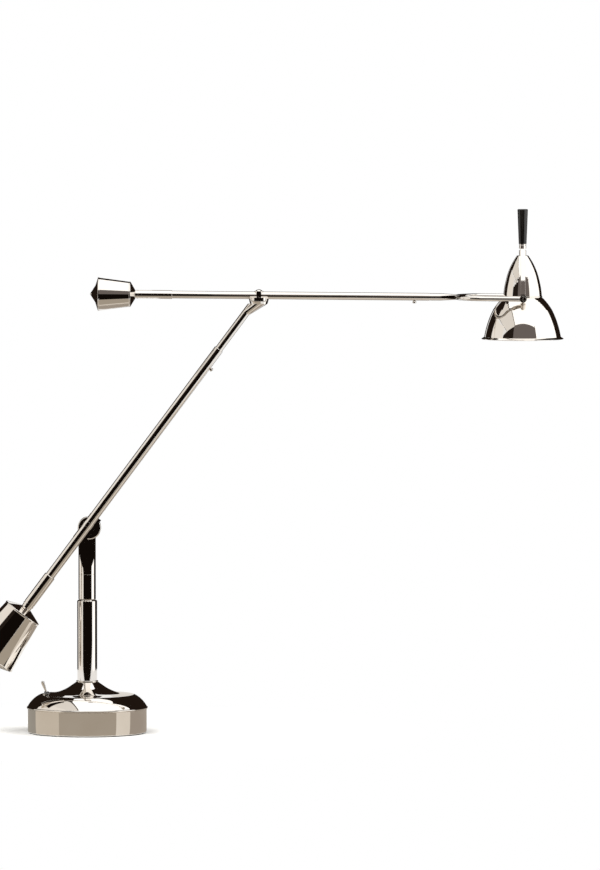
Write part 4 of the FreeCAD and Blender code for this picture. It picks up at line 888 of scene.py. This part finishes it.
class LAMP_OT_stage(LampOperator, bpy.types.Operator):
    """Set the camera, the pale floor, the white background, the screens and the light"""

    bl_idname = "lamp.stage"
    bl_label = "Studio"

    def execute(self, context):
        self.camera()
        self.world()
        self.floor()
        self.screens()
        self.lamps()
        context.scene.view_settings.view_transform = "Standard"
        return {"FINISHED"}

    def camera(self):
        """A long lens in front of the lamp, that looks a little down."""
        look = studio()
        data = bpy.data.cameras.new("camera")
        data.lens = look.lens
        data.clip_end = 100
        camera = put("camera", data)
        ahead = Vector((0, math.cos(look.pitch), -math.sin(look.pitch)))
        camera.location = Vector(look.middle) - ahead * look.distance
        camera.rotation_euler = (math.radians(90) - look.pitch, 0, 0)
        bpy.context.scene.camera = camera

    def world(self):
        """Plain white wherever the background shows, and a softer, warmer light from all round."""
        world = bpy.data.worlds.new("studio")
        bpy.context.scene.world = world
        world.use_nodes = True
        tree = world.node_tree
        tree.nodes.clear()
        output = tree.nodes.new("ShaderNodeOutputWorld")
        mixed = tree.nodes.new("ShaderNodeMixShader")
        tree.links.new(ray_of_background(tree), mixed.inputs["Fac"])
        for place, tint, strength in ((1, (1, 0.985, 0.96, 1), 0.75), (2, (1, 1, 1, 1), 1)):
            light = tree.nodes.new("ShaderNodeBackground")
            light.inputs["Color"].default_value = tint
            light.inputs["Strength"].default_value = strength
            tree.links.new(light.outputs[0], mixed.inputs[place])
        tree.links.new(mixed.outputs[0], output.inputs["Surface"])

    def floor(self):
        """A round, pale floor under the lamp and the cards."""
        look = studio()
        shape = bmesh.new()
        bmesh.ops.create_circle(shape, cap_ends=True, radius=look.floor, segments=96)
        floor = put_shape("floor", shape)
        floor.data.materials.append(self.floor_finish(look))

    def floor_finish(self, look):
        """Pale paper near the lamp, where it takes the shadow, and plain white further out."""
        made = Nodes("floor")
        grain = made.noise(60, 3)
        paper = made.add(
            "ShaderNodeBsdfPrincipled",
            Base_Color=made.blend(grain, look.floor_colour, (0.88, 0.88, 0.87)),
            Roughness=0.7,
        )
        white = made.add("ShaderNodeEmission", Color=(1, 1, 1), Strength=1.0)
        reach = made.add("ShaderNodeVectorMath")
        reach.operation = "LENGTH"
        made.set(reach.inputs[0], made.place)
        far = made.spread(reach.outputs["Value"], 0, 1, look.lit_floor * 0.45, look.lit_floor)
        both = made.add("ShaderNodeMath")
        both.operation = "MULTIPLY"
        made.set(both.inputs[0], far)
        made.set(both.inputs[1], ray_of_background(made.tree))
        mixed = made.add("ShaderNodeMixShader")
        made.set(mixed.inputs["Fac"], both.outputs[0])
        made.set(mixed.inputs[1], paper.outputs[0])
        made.set(mixed.inputs[2], white.outputs[0])
        made.set(made.output.inputs["Surface"], mixed.outputs[0])
        return made.material

    def screens(self):
        """Dark and bright cards round the lamp, a table top in painted shade and reflection, and a roof with a
        white opening.
        """
        look = studio()
        self.front_cards(look.screens * 0.7)
        self.round_cards(look.screens, look.roof)
        self.painted_table_shade_cards(look.table)
        self.roof_cards(look.roof)

    def front_cards(self, away):
        """Upright cards between the lamp and the camera."""
        for name, left, right, low, high, tint in (
            ("front_low", -0.83, 1.31, 0, 0.56, BLACK),
            ("front_high", -0.83, 0.15, 0.56, 0.93, (0.02, 0.014, 0.011)),
            ("front_grey", 0.15, 1.31, 0.56, 0.95, (0.17, 0.148, 0.14)),
        ):
            edge = [(left, low), (right, low), (right, high), (left, high)]
            flat_card(name, [(x, -away, z) for x, z in edge], tint)

    def round_cards(self, away, roof):
        """Curved cards at the sides and at the back."""
        for name, start, end, top, tint, strength in (
            ("right_bright", 64, 103, 1.6, WHITE, 1.5),
            ("right_dark", 103, 176, roof, BROWN, 1.0),
            ("back_strip", 176, 184, 0.3, CREAM, 0.8),
            ("left_dark", 184, 240, roof, BROWN, 1.0),
            ("left_bright", -120, -52, 1.2, CREAM, 1.0),
        ):
            swept_card(name, away, top, start, end, tint, strength)

    def painted_table_shade_cards(self, length):
        """Painted shade and reflection of the white table top, in fans that begin just outside the base's band."""
        clear_of_band = 0.003
        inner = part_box("base_band")[1].x + clear_of_band
        # Each tint is painted shade and reflection that the white table top shows, not its own colour.
        for name, start, end, tint in (
            ("table_shade_left", -90, -60, (0.37, 0.345, 0.305)),
            ("table_shade_beige", -60, -28, (0.66, 0.59, 0.5)),
            ("table_shade_taupe", -28, 30, (0.445, 0.392, 0.325)),
            ("table_shade_light", 30, 47, (0.85, 0.79, 0.71)),
            ("table_shade_right", 47, 90, (0.42, 0.37, 0.32)),
        ):
            painted_fan_card(name, inner, length, start, end, tint)

    def roof_cards(self, height):
        """A dark roof with bright panels hung just under it."""
        whole = [(-2.3, -2.3), (2.3, -2.3), (2.3, 2.3), (-2.3, 2.3)]
        opening = [(-0.5, -2.2), (2.2, -2.2), (2.2, 1.3), (0.95, 0.4)]
        opening += [(0.8, 1.1), (-0.3, 1.1), (-0.5, 0.2)]
        side = [(-2.2, -2.2), (-0.56, -2.2), (-0.56, 0.2)]
        side += [(-0.7, 0.75), (-1.0, 0.45), (-2.2, 0.7)]
        stripe = [(-1.42, 0.42), (-1.35, 0.36), (-0.93, 0.88), (-1.0, 0.94)]
        for name, corners, rise, tint, strength in (
            ("roof", whole, 0.03, BROWN, 1.0),
            ("opening", opening, 0.0, WHITE, 1.5),
            ("side_panel", side, 0.0, CREAM, 0.9),
            ("stripe", stripe, 0.0, WHITE, 1.2),
        ):
            flat_card(name, [(x, y, height + rise) for x, y in corners], tint, strength)

    def lamps(self):
        """Two soft area lights, which the metal doesn't show."""
        look = studio()
        for name, place, power, width in (
            ("key", (-0.7, -1.1, 1.9), look.light, 1.1),
            ("fill", (1.3, -0.6, 1.5), look.light * 0.45, 0.9),
        ):
            data = bpy.data.lights.new(name, "AREA")
            data.energy = power
            data.size = width
            lamp = put(name, data)
            lamp.location = place
            aim = Vector(look.middle) - lamp.location
            lamp.rotation_euler = aim.to_track_quat("-Z", "Y").to_euler()
            lamp.visible_glossy = False
            lamp.visible_camera = False


STEPS = (
    LAMP_OT_frame,
    LAMP_OT_base,
    LAMP_OT_switch,
    LAMP_OT_column,
    LAMP_OT_shoulder,
    LAMP_OT_lower_arm,
    LAMP_OT_weights,
    LAMP_OT_elbow,
    LAMP_OT_upper_arm,
    LAMP_OT_fork,
    LAMP_OT_shade,
    LAMP_OT_handle,
    LAMP_OT_light_source,
    LAMP_OT_stage,
)


class LAMP_PT_panel(bpy.types.Panel):
    """The lamp's sizes and finishes, and a button for each group of pieces"""

    bl_idname = "LAMP_PT_panel"
    bl_label = "Desk Lamp"
    bl_space_type = "VIEW_3D"
    bl_region_type = "UI"
    bl_category = "Desk Lamp"

    def draw(self, context):
        for group in (edges(), finish(), studio()):
            box = self.layout.box()
            for name in group.__annotations__:
                box.prop(group, name)
        for step in STEPS:
            self.layout.operator(step.bl_idname)


GROUPS = {"lamp_edges": LampEdges, "lamp_finish": LampFinish, "lamp_studio": LampStudio}
CLASSES = (*GROUPS.values(), *STEPS, LAMP_PT_panel)


def register():
    for made in CLASSES:
        bpy.utils.register_class(made)
    for name, group in GROUPS.items():
        setattr(bpy.types.Scene, name, bpy.props.PointerProperty(type=group))


def unregister():
    for name in GROUPS:
        delattr(bpy.types.Scene, name)
    for made in reversed(CLASSES):
        bpy.utils.unregister_class(made)


def main():
    register()
    for step in STEPS:
        family, name = step.bl_idname.split(".")
        getattr(getattr(bpy.ops, family), name)()


if __name__ == "__main__":
    main()
